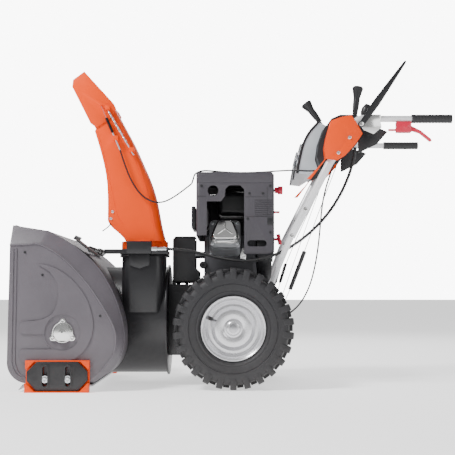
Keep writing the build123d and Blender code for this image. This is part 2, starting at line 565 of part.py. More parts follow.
cover = slab([(-222, 358.3), (-222, 522), (-212, 534), (-140, 534), (-140, 420), (-126, 406), (-126, 358.3)], -88, 88)
cover = fillet(cover.edges().filter_by(Axis.X), 14)
cover -= slab([(-219, 350), (-219, 521), (-211, 531), (-136, 531), (-136, 417), (-120, 405), (-120, 350)], -85, 85)
cover -= rod_x(-150, -120, 0, CRANK_Z, 60)
save("belt_cover", cover)

# ---- engine ---------------------------------------------------------------------------------
CYL_X = -32.0
block_solid = fillet(block(-108, 84, -95, 92, 360, 545).edges(), 16)
tilt = Pos(CYL_X, 0, CRANK_Z) * Rot(90 - CYLINDER_TILT, 0, 0)
cylinder = tilt * Pos(0, 0, 105) * Cylinder(42, 90)
for i in range(7):
    fin = fillet(Box(112, 112, 3).edges().filter_by(Axis.Z), 18)
    cylinder += tilt * Pos(0, 0, 84 + 9 * i) * fin
head = fillet(Box(112, 112, 16).edges().filter_by(Axis.Z), 20)
cylinder += tilt * Pos(0, 0, 146) * head
filler = rod((-111, -70, 426), (-111, -96, 432), 9) + block(-113, -100, -80, -66, 415, 436)
engine = block_solid + cylinder + filler
engine -= rod_x(-120, -50, 0, CRANK_Z, 12.5 + RUN_GAP)
save("engine_block", engine)

cover_outline = make_hull([e for x, y, r in ((-26, -20, 20), (26, -20, 20), (-11, 20, 22), (11, 20, 22))
                           for e in (Pos(x, y) * Circle(r)).edges()])
rocker = extrude(cover_outline, amount=30)
rocker = fillet(rocker.faces().sort_by(Axis.Z)[-1].edges(), 8)
rocker += extrude(offset(cover_outline, amount=5), amount=4)
save("valve_cover", tilt * Pos(0, 0, 154.2) * rocker)

SHROUD = (-134.0, 143.0, -195.0, 190.0, 443.0, 716.0)
sx0, sx1, sy0, sy1, sz0, sz1 = SHROUD
shell = block(sx0, sx1, sy0, sy1, sz0, sz1)
shell = fillet(shell.edges().filter_by(Axis.Z), 12)
shell = fillet([e for e in shell.edges().filter_by(Axis.X) if e.center().Z < sz0 + 1], 34)
shell -= fillet(block(sx0 + 3, sx1 - 3, sy0 + 3, sy1 - 3, sz0 - 5, sz1 + 5).edges().filter_by(Axis.Z), 9)
shell -= block(sx0 - 5, 36, sy0 - 5, sy1 + 5, sz0 - 5, 529)
opening = slab([(-96, 500), (-96, 650), (-46, 650), (-32, 668), (-30, 694), (-16, 707), (22, 707), (36, 693), (36, 500)],
               sy0 - 5, sy0 + 40)
shell -= opening
shell -= rod_y(sy0 - 5, sy0 + 8, -74, 688, 19)
shell -= block(58, 104, sy0 - 5, sy0 + 8, 490, 512) + rod_y(sy0 - 5, sy0 + 8, 58, 501, 11)
shell -= rod_y(sy0 - 5, sy0 + 8, 104, 501, 11)
for i in range(8):
    shell -= block(74, 138, sy0 - 5, sy0 + 1.4, 600 + 7.6 * i, 603 + 7.6 * i)
shell -= rod_x(-150, -120, -100, 590, 13)
shell -= rod_x(120, 160, -100, 700, 5) + rod_x(120, 160, -100, 620, 5)
shell -= rod_x(128, 160, 0, CRANK_Z, 99)
save("engine_shroud", shell)

lid = block(sx0, sx1, sy0, sy1, sz1 + 0.3, 756)
lid = fillet(lid.edges().filter_by(Axis.Z), 12)
lid = chamfer([e for e in lid.edges() if e.center().Z > 755], 9)
lid -= fillet(block(sx0 + 3, sx1 - 3, sy0 + 3, sy1 - 3, sz1 - 5, 745).edges().filter_by(Axis.Z), 9)
lid -= block(sx0 + 14, sx1 - 14, sy0 + 14, sy1 - 14, 740, 753)
lid -= rod_z(740, 760, 60, 60, 40)
save("shroud_lid", lid)

tank = fillet(block(-60, 136, -30, 180, 612, 705).edges(), 22)
tank -= fillet(block(-57, 133, -27, 177, 615, 702).edges(), 19)
tank += rod_z(700, 738, 60, 60, 24)
tank -= rod_z(695, 745, 60, 60, 20)
save("fuel_tank", tank)
cap = rod_z(738.4, 752, 60, 60, 32) + rod_z(722, 738.4, 60, 60, 19.7)
for i in range(12):
    cap -= Pos(60, 60, 745) * Rot(0, 0, 30 * i) * Pos(33.5, 0, 0) * Cylinder(3, 20)
save("fuel_cap", cap)

muffler = fillet(block(-152, -137, -150, 40, 556, 637).edges().filter_by(Axis.Y), 6)
muffler += fillet(block(-128, -92, -150, 40, 560, 632).edges().filter_by(Axis.Y), 12)
muffler += rod_x(-140, -110, -100, 590, 12)
save("muffler", muffler)

recoil = rod_x(86, 138, 0, CRANK_Z, 96) - rod_x(89, 130, 0, CRANK_Z, 91)
recoil -= rod_x(80, 90, 0, CRANK_Z, 60)
for i in range(16):
    recoil -= Pos(136, 0, CRANK_Z) * Rot(22.5 * i, 0, 0) * Pos(0, 0, 62) * Box(12, 7, 34)
recoil += rod_x(138, 146, 0, CRANK_Z, 26)
save("recoil_starter", recoil)

grip = rod((161, -100, 540), (168, -100, 502), 7) + rod_x(147, 163, -100, 521, 5)
save("recoil_grip", grip)
knob = rod_x(149, 161, -100, 700, 11) + rod_x(161, 178, -100, 700, 15) + rod_x(132, 149, -100, 700, 4.9)
save("choke_knob", knob)
key = block(149, 167, -101.5, -98.5, 616, 624) + rod_x(132, 149, -100, 620, 4.9)
save("ignition_key", key)

# ---- handles ---------------------------------------------------------------------------------
SLEEVE_LOW, SLEEVE_HIGH = Vector(192, -234, 508), Vector(331, -267, 777)


def on_sleeve(t):
    return tuple(SLEEVE_LOW + (SLEEVE_HIGH - SLEEVE_LOW) * t)


LOWER_R, UPPER_R, BAR_R = 10.5, 13.5, 11.0
lower = bent_tube([(110, -157, 316), (134, -160, 362), tuple(SLEEVE_LOW), on_sleeve(0.42)], LOWER_R, [40, 80])
upper = bent_tube([on_sleeve(0.05), tuple(SLEEVE_HIGH), (430, -HANDLE_Y, BAR_Z), (470, -HANDLE_Y, BAR_Z)],
                  UPPER_R, [220, 34], wall=2.8)
upper += rod_x(452, 746, -HANDLE_Y, BAR_Z, BAR_R)
SLEEVE_BOLTS = [on_sleeve(0.06), on_sleeve(0.40)]
for x, y, z in SLEEVE_BOLTS:
    hole = rod_y(y - 30, y + 30, x, z, 4)
    lower -= hole
    upper -= hole
foot = rod_y(-180, -130, 122, 339, 5)
lower -= foot
save("handle_lower", *both_sides(lower))
save("handle_upper", *both_sides(upper))
grip_sleeve = rod_x(615, HALF_LENGTH, -HANDLE_Y, BAR_Z, 15) - rod_x(610, 746, -HANDLE_Y, BAR_Z, BAR_R)
for i in range(11):
    x = 628 + 11 * i
    grip_sleeve -= rod_x(x, x + 3, -HANDLE_Y, BAR_Z, 16) - rod_x(x, x + 3, -HANDLE_Y, BAR_Z, 14.2)
save("hand_grips", *both_sides(grip_sleeve))

# ---- console ----------------------------------------------------------------------------------
WING = [(315, 786), (311, 827), (318, 863), (334, 918), (365, 930), (404, 938), (424, 907), (442, 873), (417, 836),
        (381, 797), (353, 780)]
WING_Y = 297.0
wing = slab(WING, -WING_Y - 3, -WING_Y)
inner_edge = [(318, 789), (314, 827), (321, 862), (336.5, 915.5), (366, 927), (402.5, 935)]
wing += slab([(404, 938)] + inner_edge[::-1] + WING[:5], -WING_Y - 1, -248)
wing += slab([(315, 786), (318, 789), (263, 716), (249, 716)], -WING_Y - 1, -WING_Y + 2)
wing += slab([(312, 786), (318, 789), (268, 722), (260, 722)], -WING_Y - 1, -296)
WING_BOLTS = [(397, 860), (358, 807)]
for x, z in WING_BOLTS:
    wing -= rod_y(-310, -290, x, z, 3.5)
wing -= bent_tube([on_sleeve(0.9), tuple(SLEEVE_HIGH), (430, -HANDLE_Y, BAR_Z), (470, -HANDLE_Y, BAR_Z)],
                  UPPER_R + 0.3, [40, 34])
save("console_wings", *both_sides(wing))

PANEL = [(300, 772), (290, 800), (297, 850), (316, 902), (342, 937), (372, 950), (425, 950), (462, 936), (486, 912)]
PANEL_IN = [(482, 909), (459, 931.5), (424, 945.5), (373, 945.5), (345, 933.5), (320.5, 900), (301.5, 849),
            (294.8, 800.5), (304, 773)]
panel = slab(PANEL + PANEL_IN, -244, 244)
for side in (-1, 1):
    cheek = (min(side * 240, side * 246), max(side * 240, side * 246))
    panel += slab(PANEL + [(480, 905), (440, 868), (340, 790)], *cheek)
    panel += slab([(434, 862), (440, 868), (480, 905), (510, 902), (538, 889), (500, 846), (440, 816), (434, 816)], *cheek)
LEVERS = {                     # name: y, pivot, knob top, stroke of the slot in x
    "speed_lever": (-80.0, (372.0, 885.0), (265.0, 1027.0), (300, 392)),
    "chute_lever": (0.0, (445.0, 882.0), (472.0, 1107.0), (418, 482)),
    "deflector_lever": (120.0, (445.0, 882.0), (530.0, 1062.0), (420, 492)),
}
for y, _, _, (slot_a, slot_b) in LEVERS.values():
    panel -= block(slot_a, slot_b, y - 8, y + 8, 896, 960)
PIVOT_BAR_R = 4.0
for x, z in {pivot for _, pivot, _, _ in LEVERS.values()}:
    panel -= rod_y(-250, 250, x, z, PIVOT_BAR_R)
save("console_panel", panel)

LIGHT = [(298, 771), (262, 748), (226, 752), (232, 790), (246, 850), (268, 897), (304, 938), (330, 923.5),
         (314.5, 903), (295.5, 850), (288.5, 800)]
light = slab(LIGHT, -178, 178)
save("headlight", light)

for name, (y, pivot, knob_top, _) in LEVERS.items():
    px, pz = pivot
    reach = Vector(knob_top[0] - px, 0, knob_top[1] - pz)
    base = Vector(px, y, pz)
    stem = rod(tuple(base), tuple(base + reach * 0.8), 4.5)
    along = Plane(origin=base + reach * 0.52, x_dir=(0, 1, 0), z_dir=reach)
    height = reach.length * 0.48
    outline = [(0, 0), (9, 0), (12, height * 0.3), (12.5, height * 0.6), (19, height * 0.86), (21, height * 0.94),
               (16, height), (0, height)]
    if name == "deflector_lever":
        outline = [(0, height * 0.45), (9, height * 0.45), (17, height * 0.62), (19, height * 0.8), (13, height), (0, height)]
    knob_face = make_face(Polyline(*[(a, 0, b) for a, b in outline], close=True))
    lever = stem + along * revolve(knob_face, Axis.Z, 360) + rod_y(y - 7, y + 7, px, pz, 10)
    save(name, lever - rod_y(y - 9, y + 9, px, pz, PIVOT_BAR_R + RUN_GAP))

# ---- clutch levers, steering triggers and their brackets ------------------------------------------
CLUTCH_PIVOT = (437.0, 905.0)
CLUTCH_TIP = (593.0, 1126.0)
reach = Vector(CLUTCH_TIP[0] - CLUTCH_PIVOT[0], 0, CLUTCH_TIP[1] - CLUTCH_PIVOT[1])
lean, across = reach.normalized(), Vector(-reach.Z, 0, reach.X).normalized()


def along_lever(d, w):
    point = Vector(CLUTCH_PIVOT[0], 0, CLUTCH_PIVOT[1]) + lean * d + across * w
    return (point.X, point.Z)


def lever_strip(stations, y0, y1):
    left = [along_lever(d, w) for d, w in stations]
    right = [along_lever(d, -w) for d, w in stations[::-1]]
    return slab(left + right, y0, y1)


clutch = lever_strip([(0, 8), (60, 12), (95, 12.5), (165, 9.5)], -306, -301) + rod_y(-306, -301, *CLUTCH_PIVOT, 11)
clutch += lever_strip([(150, 10.3), (reach.length - 6, 4.5), (reach.length, 2.5)], -306, -270)
clutch -= slab([along_lever(146, -20), along_lever(146, 7), along_lever(reach.length - 12, 1.5),
                along_lever(reach.length - 12, -20)], -302.5, -273.5)
clutch -= rod_y(-310, -290, *CLUTCH_PIVOT, 5 + RUN_GAP)
plate = slab([(430, 908), (452, 934), (502, 934), (508, 895), (480, 872), (446, 886)], -298, -294)
plate += block(470, 506, -294, -264, 913.4, 916.6) + block(470, 506, -297, -292, 914, 940)
plate += rod_y(-310, -296, *CLUTCH_PIVOT, 5) + rod_y(-310, -307, *CLUTCH_PIVOT, 8)
TRIGGER_PIN = (597.0, 899.0)
fork = block(561, 612, -292, -268, 912, 916.6) + block(561, 612, -292, -286, 880, 912)
fork += block(561, 612, -274, -268, 880, 912) + block(561, 566, -292, -268, 880, 912)
fork += rod_y(-294, -266, *TRIGGER_PIN, 3)
fork += rod_x(534, 561, -280, 889, 4)
save("trigger_fork", fork)
save("handle_brackets", *both_sides(plate), *[
    rod_y(-246, 246, x, z, PIVOT_BAR_R) for x, z in {pivot for _, pivot, _, _ in LEVERS.values()}])
trigger = slab([(572, 904), (603, 908), (645, 887), (680, 858), (683, 850), (676, 848), (641, 877), (603, 889),
                (572, 894)], -285.5, -274.5)
trigger -= rod_y(-290, -270, *TRIGGER_PIN, 3 + RUN_GAP)
save("steering_trigger", trigger)
save("clutch_lever_left", clutch)
save("clutch_lever_right", mirrored(clutch))

# ---- cables held at both ends -----------------------------------------------------------------
CHUTE_CABLE = [(-236, -218, 480), (-172, -217, 477), (-116, -213, 466), (-63, -211, 452), (-12, -210, 442),
               (40, -210, 438), (92, -208, 444), (144, -202, 460), (202, -191, 489), (264, -203, 534),
               (324, -216, 595), (372, -230, 668), (404, -237, 742), (420, -240, 800), (424, -240, 834)]
STEERING_CABLE = [(352, -246, 786), (334, -244, 736), (318, -234, 683), (308, -225, 630), (303, -214, 565),
                  (297, -204, 495), (286, -189, 420), (268, -174, 349), (238, -163, 291), (198, -153, 253),
                  (162, -134, 236), (134, -108, 231)]
CLIPPED_CABLE = [(-150.8, -161.6, 717.4), (-146, -158, 732), (-141, -149, 755), (-114, -139, 768), (-70, -132, 766),
                 (-14, -130, 761.5), (50, -131, 760.5), (112, -134, 763), (164, -148, 765), (214, -186, 762),
                 (264, -198, 757), (306, -211, 758), (330, -218, 775), (342, -221, 800)]
CLUTCH_ROD = [(352, -243, 796), (262, -215, 612), (186, -186, 440), (160, -160, 352), (150, -128, 296),
              (134, -104, 262)]
DRIVE_ROD = [(366, -243, 790), (306, -217, 634), (252, -196, 482), (196, -160, 330), (166, -136, 264), (134, -112, 250)]
pieces = [cord("chute drive cable", CHUTE_CABLE, 5.5), rod_x(-288.6, -236, -218, 480, 9)]
pieces.append(cord("deflector cable, clipped run", CLIPPED_CABLE, 3))


def between(a, b, t):
    return tuple(p + (q - p) * t for p, q in zip(a, b))


def sleeved(wire, a, b, t0, t1, radius):
    """A rubber sleeve or a spring round part of one straight run of a wire."""
    return wire + rod(between(a, b, t0), between(a, b, t1), radius)


auger_wire = sleeved(cord("auger clutch wire", CLUTCH_ROD, 1.3), CLUTCH_ROD[2], CLUTCH_ROD[3], 0.1, 0.9, 6)
drive_wire = sleeved(cord("drive clutch wire", DRIVE_ROD, 1.3), DRIVE_ROD[2], DRIVE_ROD[3], 0.06, 0.94, 7.5)
pieces += [cord("steering cable", STEERING_CABLE, 3), drive_wire, mirrored(cord("right drive wire", DRIVE_ROD, 1.3))]
pieces += both_sides(auger_wire)
save("control_cables", *pieces)

# ---- fasteners --------------------------------------------------------------------------------
bolts = []
for x, y in SCRAPER_BOLTS:
    bolts.append(rod_z(9, 36, x, y, 3.9) + hex_prism(Plane(origin=(x, y, 11.3)), 13, 6)
                 + rod_z(28.4, 31, x, y, 8))
for side in (-1, 1):
    for x in SKID_BOLT_X:
        bolts.append(bolt_y(x, side * 379.4, SKID_BOLT_Z, 4.9, 30, 8.5, side)
                     + rod_y(min(side * 379.2, side * 380.8), max(side * 379.2, side * 380.8), x, SKID_BOLT_Z, 12)
                     + rod_y(min(side * 350, side * 345), max(side * 350, side * 345), x, SKID_BOLT_Z, 8))
    for a in ((90, 210, 330) if side < 0 else (270, 30, 150)):
        x, z = AUGER_X + 38 * cos(radians(a)), AUGER_Z - side * 38 * sin(radians(a))
        bolts.append(bolt_y(x, side * 360.3, z, 3.8, 4, 6.5, side))
    for x, y, z in SLEEVE_BOLTS:
        bolts.append(bolt_y(x, side * (abs(y) + 14.6), z, 3.9, 28, 6.5, side))
    bolts.append(bolt_y(122, side * 169.5, 339, 4.9, 24, 7, side))
    for x, z in WING_BOLTS:
        bolts.append(bolt_y(x, side * 300.3, z, 3.4, 12, 6, side))
save("fasteners", *bolts)

whole = Compound(children=list(made.values())).bounding_box()
print(f"{len(made)} nodes, box {whole.min.X:.1f} {whole.min.Y:.1f} {whole.min.Z:.1f}"
      f" to {whole.max.X:.1f} {whole.max.Y:.1f} {whole.max.Z:.1f}")
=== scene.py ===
# %% [markdown]
# # A two-stage snow blower
# The machine's solids come in as a fixed frame. Each cell below takes one part of the real
# machine, says what it is, and gives it its pressed beads, screws, seams and finish.
# Everything is in metres: +X points to the operator, +Z up, and the floor is at zero.

# %% Load the frame
import bpy
import bmesh
import json
from math import cos, pi, radians, sin
from mathutils import Matrix, Vector

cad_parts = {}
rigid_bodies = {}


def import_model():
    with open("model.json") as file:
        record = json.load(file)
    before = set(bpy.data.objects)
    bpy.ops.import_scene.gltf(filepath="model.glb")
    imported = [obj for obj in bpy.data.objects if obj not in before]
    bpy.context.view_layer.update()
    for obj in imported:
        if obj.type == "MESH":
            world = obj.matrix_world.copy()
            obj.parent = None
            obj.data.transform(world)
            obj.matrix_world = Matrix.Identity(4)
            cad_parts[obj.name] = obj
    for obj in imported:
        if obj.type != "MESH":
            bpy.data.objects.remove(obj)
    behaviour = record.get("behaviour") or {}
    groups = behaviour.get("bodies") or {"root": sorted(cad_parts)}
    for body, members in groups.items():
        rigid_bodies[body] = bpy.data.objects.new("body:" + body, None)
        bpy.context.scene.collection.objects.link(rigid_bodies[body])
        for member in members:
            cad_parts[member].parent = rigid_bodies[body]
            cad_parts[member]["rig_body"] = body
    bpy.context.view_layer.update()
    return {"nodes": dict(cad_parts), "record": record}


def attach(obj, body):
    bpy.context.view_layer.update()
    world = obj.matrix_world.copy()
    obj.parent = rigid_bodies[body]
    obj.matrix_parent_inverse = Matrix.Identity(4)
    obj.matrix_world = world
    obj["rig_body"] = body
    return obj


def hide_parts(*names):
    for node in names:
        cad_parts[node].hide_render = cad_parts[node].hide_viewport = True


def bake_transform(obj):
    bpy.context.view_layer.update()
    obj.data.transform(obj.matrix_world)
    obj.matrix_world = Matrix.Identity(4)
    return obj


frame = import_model()
print("nodes in the frame:", len(frame["nodes"]))


# %% [markdown]
# ## Working habits
# The shapes are drawn in millimetres, as on a workshop drawing, and turned into metres when the
# mesh is made. A finished piece is handed over by one helper: it says which body the piece moves
# with and which solid it stands for.

# %% Units and hand-over
MM = 0.001


def mm(*values):
    """Millimetres to metres, as a vector or one number."""
    return values[0] * MM if len(values) == 1 else Vector([v * MM for v in values])


def show(obj):
    if obj.name not in bpy.context.scene.collection.objects:
        bpy.context.scene.collection.objects.link(obj)
    return obj


def hand_over(obj, body, slot, *nodes):
    """The piece moves with body and stands for the named solids; slot is not used."""
    show(obj)
    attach(obj, body)
    if nodes:
        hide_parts(*nodes)
    return obj


def drop(*objects):
    for obj in objects:
        bpy.data.objects.remove(obj)


# %% [markdown]
# ## Paint, plastic, rubber and plating
# Each finish is a small tree of nodes on Object coordinates, so a pattern keeps its size on a
# large sheet and on a small screw. The same four ideas make all of them: a slow noise tints the
# colour, a second noise varies the gloss, a fine grain lifts the surface through Bump, and a dusting
# settles near the floor. An image would be an easier way, but it needs unwrapping and files.

# %% A maker of finishes
DUST_COLOUR = (0.30, 0.28, 0.26, 1)


def finish_of(name, colour, rough, metal=0.0, grain=900.0, lift=0.15, tint=0.12, gloss_play=0.08,
              dust=0.25, pattern="NOISE", stretch=(1, 1, 1), coat=0.0, **sockets):
    """A procedural finish; grain is the size of the fine texture, lift how deep it reads."""
    mat = bpy.data.materials.new(name)
    mat.use_nodes = True
    nodes, links = mat.node_tree.nodes, mat.node_tree.links
    shader = nodes["Principled BSDF"]

    def add(kind, values=None, **wires):
        """One node; values are set on its sockets and wires lead into them."""
        node = nodes.new("ShaderNode" + kind)
        for socket, value in (values or {}).items():
            node.inputs[socket].default_value = value
        for socket, source in wires.items():
            links.new(source, node.inputs[socket])
        return node

    where = add("TexCoord").outputs["Object"]
    turn = add("Mapping", {"Scale": stretch}, Vector=where)

    slow = add("TexNoise", {"Scale": 9.0, "Detail": 6.0}, Vector=where)
    ramp = add("ValToRGB", Fac=slow.outputs["Fac"])
    for stop, position, shade in zip(ramp.color_ramp.elements, (0.32, 0.70), (1 - tint, 1 + tint)):
        stop.position = position
        stop.color = tuple(min(1, c * shade) for c in colour) + (1,)

    split = add("SeparateXYZ", Vector=where)
    low = add("MapRange", {"From Min": 0.0, "From Max": 0.30, "To Min": dust, "To Max": 0.0},
              Value=split.outputs["Z"])
    specks = add("TexNoise", {"Scale": 55.0, "Detail": 8.0}, Vector=where)
    settle = add("Math")
    settle.operation = "MULTIPLY"
    links.new(low.outputs["Result"], settle.inputs[0])
    links.new(specks.outputs["Fac"], settle.inputs[1])
    dusty = nodes.new("ShaderNodeMix")
    dusty.data_type = "RGBA"
    dusty.inputs["B"].default_value = DUST_COLOUR
    links.new(settle.outputs["Value"], dusty.inputs["Factor"])
    links.new(ramp.outputs["Color"], dusty.inputs["A"])
    links.new(dusty.outputs["Result"], shader.inputs["Base Color"])

    play = add("MapRange", {"To Min": max(0.02, rough - gloss_play), "To Max": min(1.0, rough + gloss_play)},
               Value=specks.outputs["Fac"])
    links.new(play.outputs["Result"], shader.inputs["Roughness"])

    if pattern == "SPANGLE":
        height = add("TexVoronoi", {"Scale": grain}, Vector=turn.outputs["Vector"]).outputs["Color"]
    else:
        height = add("TexNoise", {"Scale": grain, "Detail": 3.0}, Vector=turn.outputs["Vector"]).outputs["Fac"]
    bump = add("Bump", {"Strength": lift, "Distance": 0.0006}, Height=height)
    links.new(bump.outputs["Normal"], shader.inputs["Normal"])

    shader.inputs["Metallic"].default_value = metal
    shader.inputs["Coat Weight"].default_value = coat
    shader.inputs["Coat Roughness"].default_value = 0.12
    for socket, value in sockets.items():
        shader.inputs[socket].default_value = value
    return mat


# %% [markdown]
# The sheet-metal housing has a fine textured powder coat, the chute a smooth bright one. The drum
# is black satin. Zinc plating keeps a faint crystal pattern; the castings are rough and matt.

# %% The finishes of this machine
charcoal_coat = finish_of("charcoal_textured_coat", (0.105, 0.094, 0.108), 0.46, grain=1400, lift=0.30,
                          tint=0.08, dust=0.10)
orange_coat = finish_of("orange_gloss_coat", (0.86, 0.066, 0.0), 0.45, grain=420, lift=0.05, tint=0.03,
                        dust=0.04, coat=0.05)
orange_coat.node_tree.nodes["Principled BSDF"].inputs["Specular IOR Level"].default_value = 0.15
black_coat = finish_of("black_satin_coat", (0.011, 0.011, 0.013), 0.36, grain=600, lift=0.10, dust=0.10)
shroud_plastic = finish_of("charcoal_moulded_plastic", (0.050, 0.046, 0.055), 0.48, grain=1800, lift=0.22,
                           tint=0.06, dust=0.0)
black_plastic = finish_of("black_moulded_plastic", (0.010, 0.010, 0.012), 0.42, grain=1500, lift=0.15,
                          dust=0.08)
red_plastic = finish_of("red_lever_plastic", (0.62, 0.010, 0.045), 0.36, grain=900, lift=0.06, tint=0.05,
                        dust=0.0, coat=0.25)
tyre_rubber = finish_of("tyre_rubber", (0.016, 0.0155, 0.018), 0.62, grain=1100, lift=0.35, tint=0.15, dust=0.12)
soft_rubber = finish_of("grip_rubber", (0.016, 0.016, 0.018), 0.55, grain=1300, lift=0.25, dust=0.0)
zinc = finish_of("zinc_plating", (0.70, 0.72, 0.74), 0.28, metal=1.0, grain=260, lift=0.06, pattern="SPANGLE",
                 tint=0.10, dust=0.05)
bright_zinc = finish_of("bright_zinc_plating", (0.80, 0.80, 0.79), 0.18, metal=1.0, grain=500, lift=0.04,
                        tint=0.06, dust=0.0)
rim_paint = finish_of("silver_rim_paint", (0.72, 0.72, 0.74), 0.24, metal=0.75, grain=900, lift=0.06,
                      tint=0.05, dust=0.12, coat=0.2)
silver_paint = finish_of("silver_handle_paint", (0.80, 0.80, 0.82), 0.36, metal=0.20, grain=900, lift=0.05,
                         tint=0.05, dust=0.0)
cast_alloy = finish_of("cast_alloy", (0.42, 0.43, 0.45), 0.46, metal=0.85, grain=420, lift=0.45, tint=0.18,
                       dust=0.0)
dark_casting = finish_of("dark_engine_casting", (0.050, 0.050, 0.056), 0.50, metal=0.3, grain=420, lift=0.45,
                         tint=0.2, dust=0.1)
machined_steel = finish_of("machined_steel", (0.52, 0.52, 0.54), 0.30, metal=1.0, grain=160, lift=0.10,
                           stretch=(1, 22, 22), tint=0.1, dust=0.08)
lens_plastic = finish_of("clear_lens_plastic", (0.56, 0.59, 0.63), 0.09, grain=300, lift=0.02, tint=0.10,
                         gloss_play=0.03, dust=0.0, coat=1.0)
mirror_plastic = finish_of("mirrored_reflector", (0.86, 0.87, 0.88), 0.10, metal=1.0, grain=200, lift=0.03,
                           tint=0.03, dust=0.0)
grey_plastic = finish_of("grey_moulded_plastic", (0.34, 0.34, 0.36), 0.42, grain=1500, lift=0.15, dust=0.0)
pale_steel = finish_of("pale_blade_steel", (0.36, 0.36, 0.38), 0.4, metal=0.8, grain=200, lift=0.2, dust=0.3)
print("finishes:", len(bpy.data.materials))


# %% [markdown]
# ## Soft edges on every part
# Nothing that leaves a press or a mould has a razor edge, and an edge with a small radius
# catches a thin line of light. The solid's triangles are merged and its flat faces joined, and a
# Bevel rolls each sharp edge. Should a bevel ever swell past the solid, the plain copy is kept.

# %% A copy of a solid with rolled edges
def extent(mesh):
    co = [v.co for v in mesh.vertices]
    return [min(c[i] for c in co) for i in range(3)] + [max(c[i] for c in co) for i in range(3)]


def mesh_from(work, name):
    """Close a working mesh and keep it under a name."""
    mesh = bpy.data.meshes.new(name)
    work.to_mesh(mesh)
    work.free()
    return mesh


def plain_mesh(obj, name):
    """The evaluated mesh of an object with modifiers, as a new object at the origin."""
    show(obj)
    graph = bpy.context.evaluated_depsgraph_get()
    mesh = bpy.data.meshes.new_from_object(obj.evaluated_get(graph))
    mesh.name = name
    return bpy.data.objects.new(name, mesh)


def smooth(obj, angle=32):
    obj.data.shade_smooth()
    obj.data.set_sharp_from_angle(angle=radians(angle))
    return obj


def paint(obj, finish):
    obj.data.materials.clear()
    obj.data.materials.append(finish)
    return obj


def rolled(node, name, finish, radius=0.8, angle=32, steps=2):
    source = frame["nodes"][node]
    work = bmesh.new()
    work.from_mesh(source.data)
    bmesh.ops.remove_doubles(work, verts=work.verts, dist=2e-6)
    bmesh.ops.dissolve_degenerate(work, edges=work.edges, dist=1e-6)
    bmesh.ops.dissolve_limit(work, angle_limit=radians(0.6), verts=work.verts, edges=work.edges)
    mesh = mesh_from(work, name)
    before = extent(mesh)
    rough_copy = show(bpy.data.objects.new(name + "_rough", mesh))
    if radius:
        bevel = rough_copy.modifiers.new("edge", "BEVEL")
        bevel.width = mm(radius)
        bevel.segments = steps
        bevel.limit_method = "ANGLE"
        bevel.angle_limit = radians(angle)
        bevel.use_clamp_overlap = True
    made = plain_mesh(rough_copy, name)
    after = extent(made.data)
    if max(abs(a - b) for a, b in zip(before, after)) > 4e-4:
        print("kept plain:", name)
        rough_copy.modifiers.clear()
        drop(made)
        made = plain_mesh(rough_copy, name)
    drop(rough_copy)
    return paint(smooth(made, angle), finish)


def body_of_node(node):
    return frame["nodes"][node]["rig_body"]


def slot_of_node(node):
    for part in frame["record"]["subparts"]:
        if part["node"] == node:
            return part["material_slot"]


def rolled_piece(node, name, finish, radius=0.8, angle=32):
    return hand_over(rolled(node, name, finish, radius, angle), body_of_node(node), slot_of_node(node), node)


# %% [markdown]
# ## Geometry Nodes kits
# Screws, lugs, teeth, ribs and pressed beads come in rows and rings, so each has one small tree
# with named inputs. The tree ends in Realize Instances and Set Material; its result is taken as a
# plain mesh and the modifier goes away with its carrier.

# %% Building a tree
KINDS = {"Float": "NodeSocketFloat", "Int": "NodeSocketInt", "Vector": "NodeSocketVector",
         "Object": "NodeSocketObject", "Material": "NodeSocketMaterial"}


def new_tree(name, **inputs):
    tree = bpy.data.node_groups.new(name, "GeometryNodeTree")
    tree.interface.new_socket("Geometry", in_out="OUTPUT", socket_type="NodeSocketGeometry")
    tree.interface.new_socket("Geometry", in_out="INPUT", socket_type="NodeSocketGeometry")
    for key, kind in inputs.items():
        tree.interface.new_socket(key, in_out="INPUT", socket_type=KINDS[kind])
    return tree, tree.nodes.new("NodeGroupInput"), tree.nodes.new("NodeGroupOutput")


def maths(tree, operation, a, b=None):
    """One Math node; a and b are sockets or numbers."""
    node = tree.nodes.new("ShaderNodeMath")
    node.operation = operation
    for socket, value in zip(node.inputs, (a, b)):
        if isinstance(value, (int, float)):
            socket.default_value = value
        elif value is not None:
            tree.links.new(value, socket)
    return node.outputs[0]


def close_tree(tree, inputs, output, geometry):
    """Realize and paint what the tree has made."""
    real = tree.nodes.new("GeometryNodeRealizeInstances")
    coat = tree.nodes.new("GeometryNodeSetMaterial")
    tree.links.new(geometry, real.inputs[0])
    tree.links.new(real.outputs[0], coat.inputs["Geometry"])
    tree.links.new(inputs.outputs["Finish"], coat.inputs["Material"])
    tree.links.new(coat.outputs["Geometry"], output.inputs["Geometry"])


def grow(tree, name, carrier=None, **values):
    """Run a tree on a carrier mesh and keep the result as a plain mesh."""
    carrier = show(carrier or bpy.data.objects.new(name + "_carrier", bpy.data.meshes.new(name)))
    modifier = carrier.modifiers.new("nodes", "NODES")
    modifier.node_group = tree
    for item in tree.interface.items_tree:
        if item.in_out == "INPUT" and item.name in values:
            modifier[item.identifier] = values[item.name]
    made = plain_mesh(carrier, name)
    drop(carrier)
    return smooth(made)


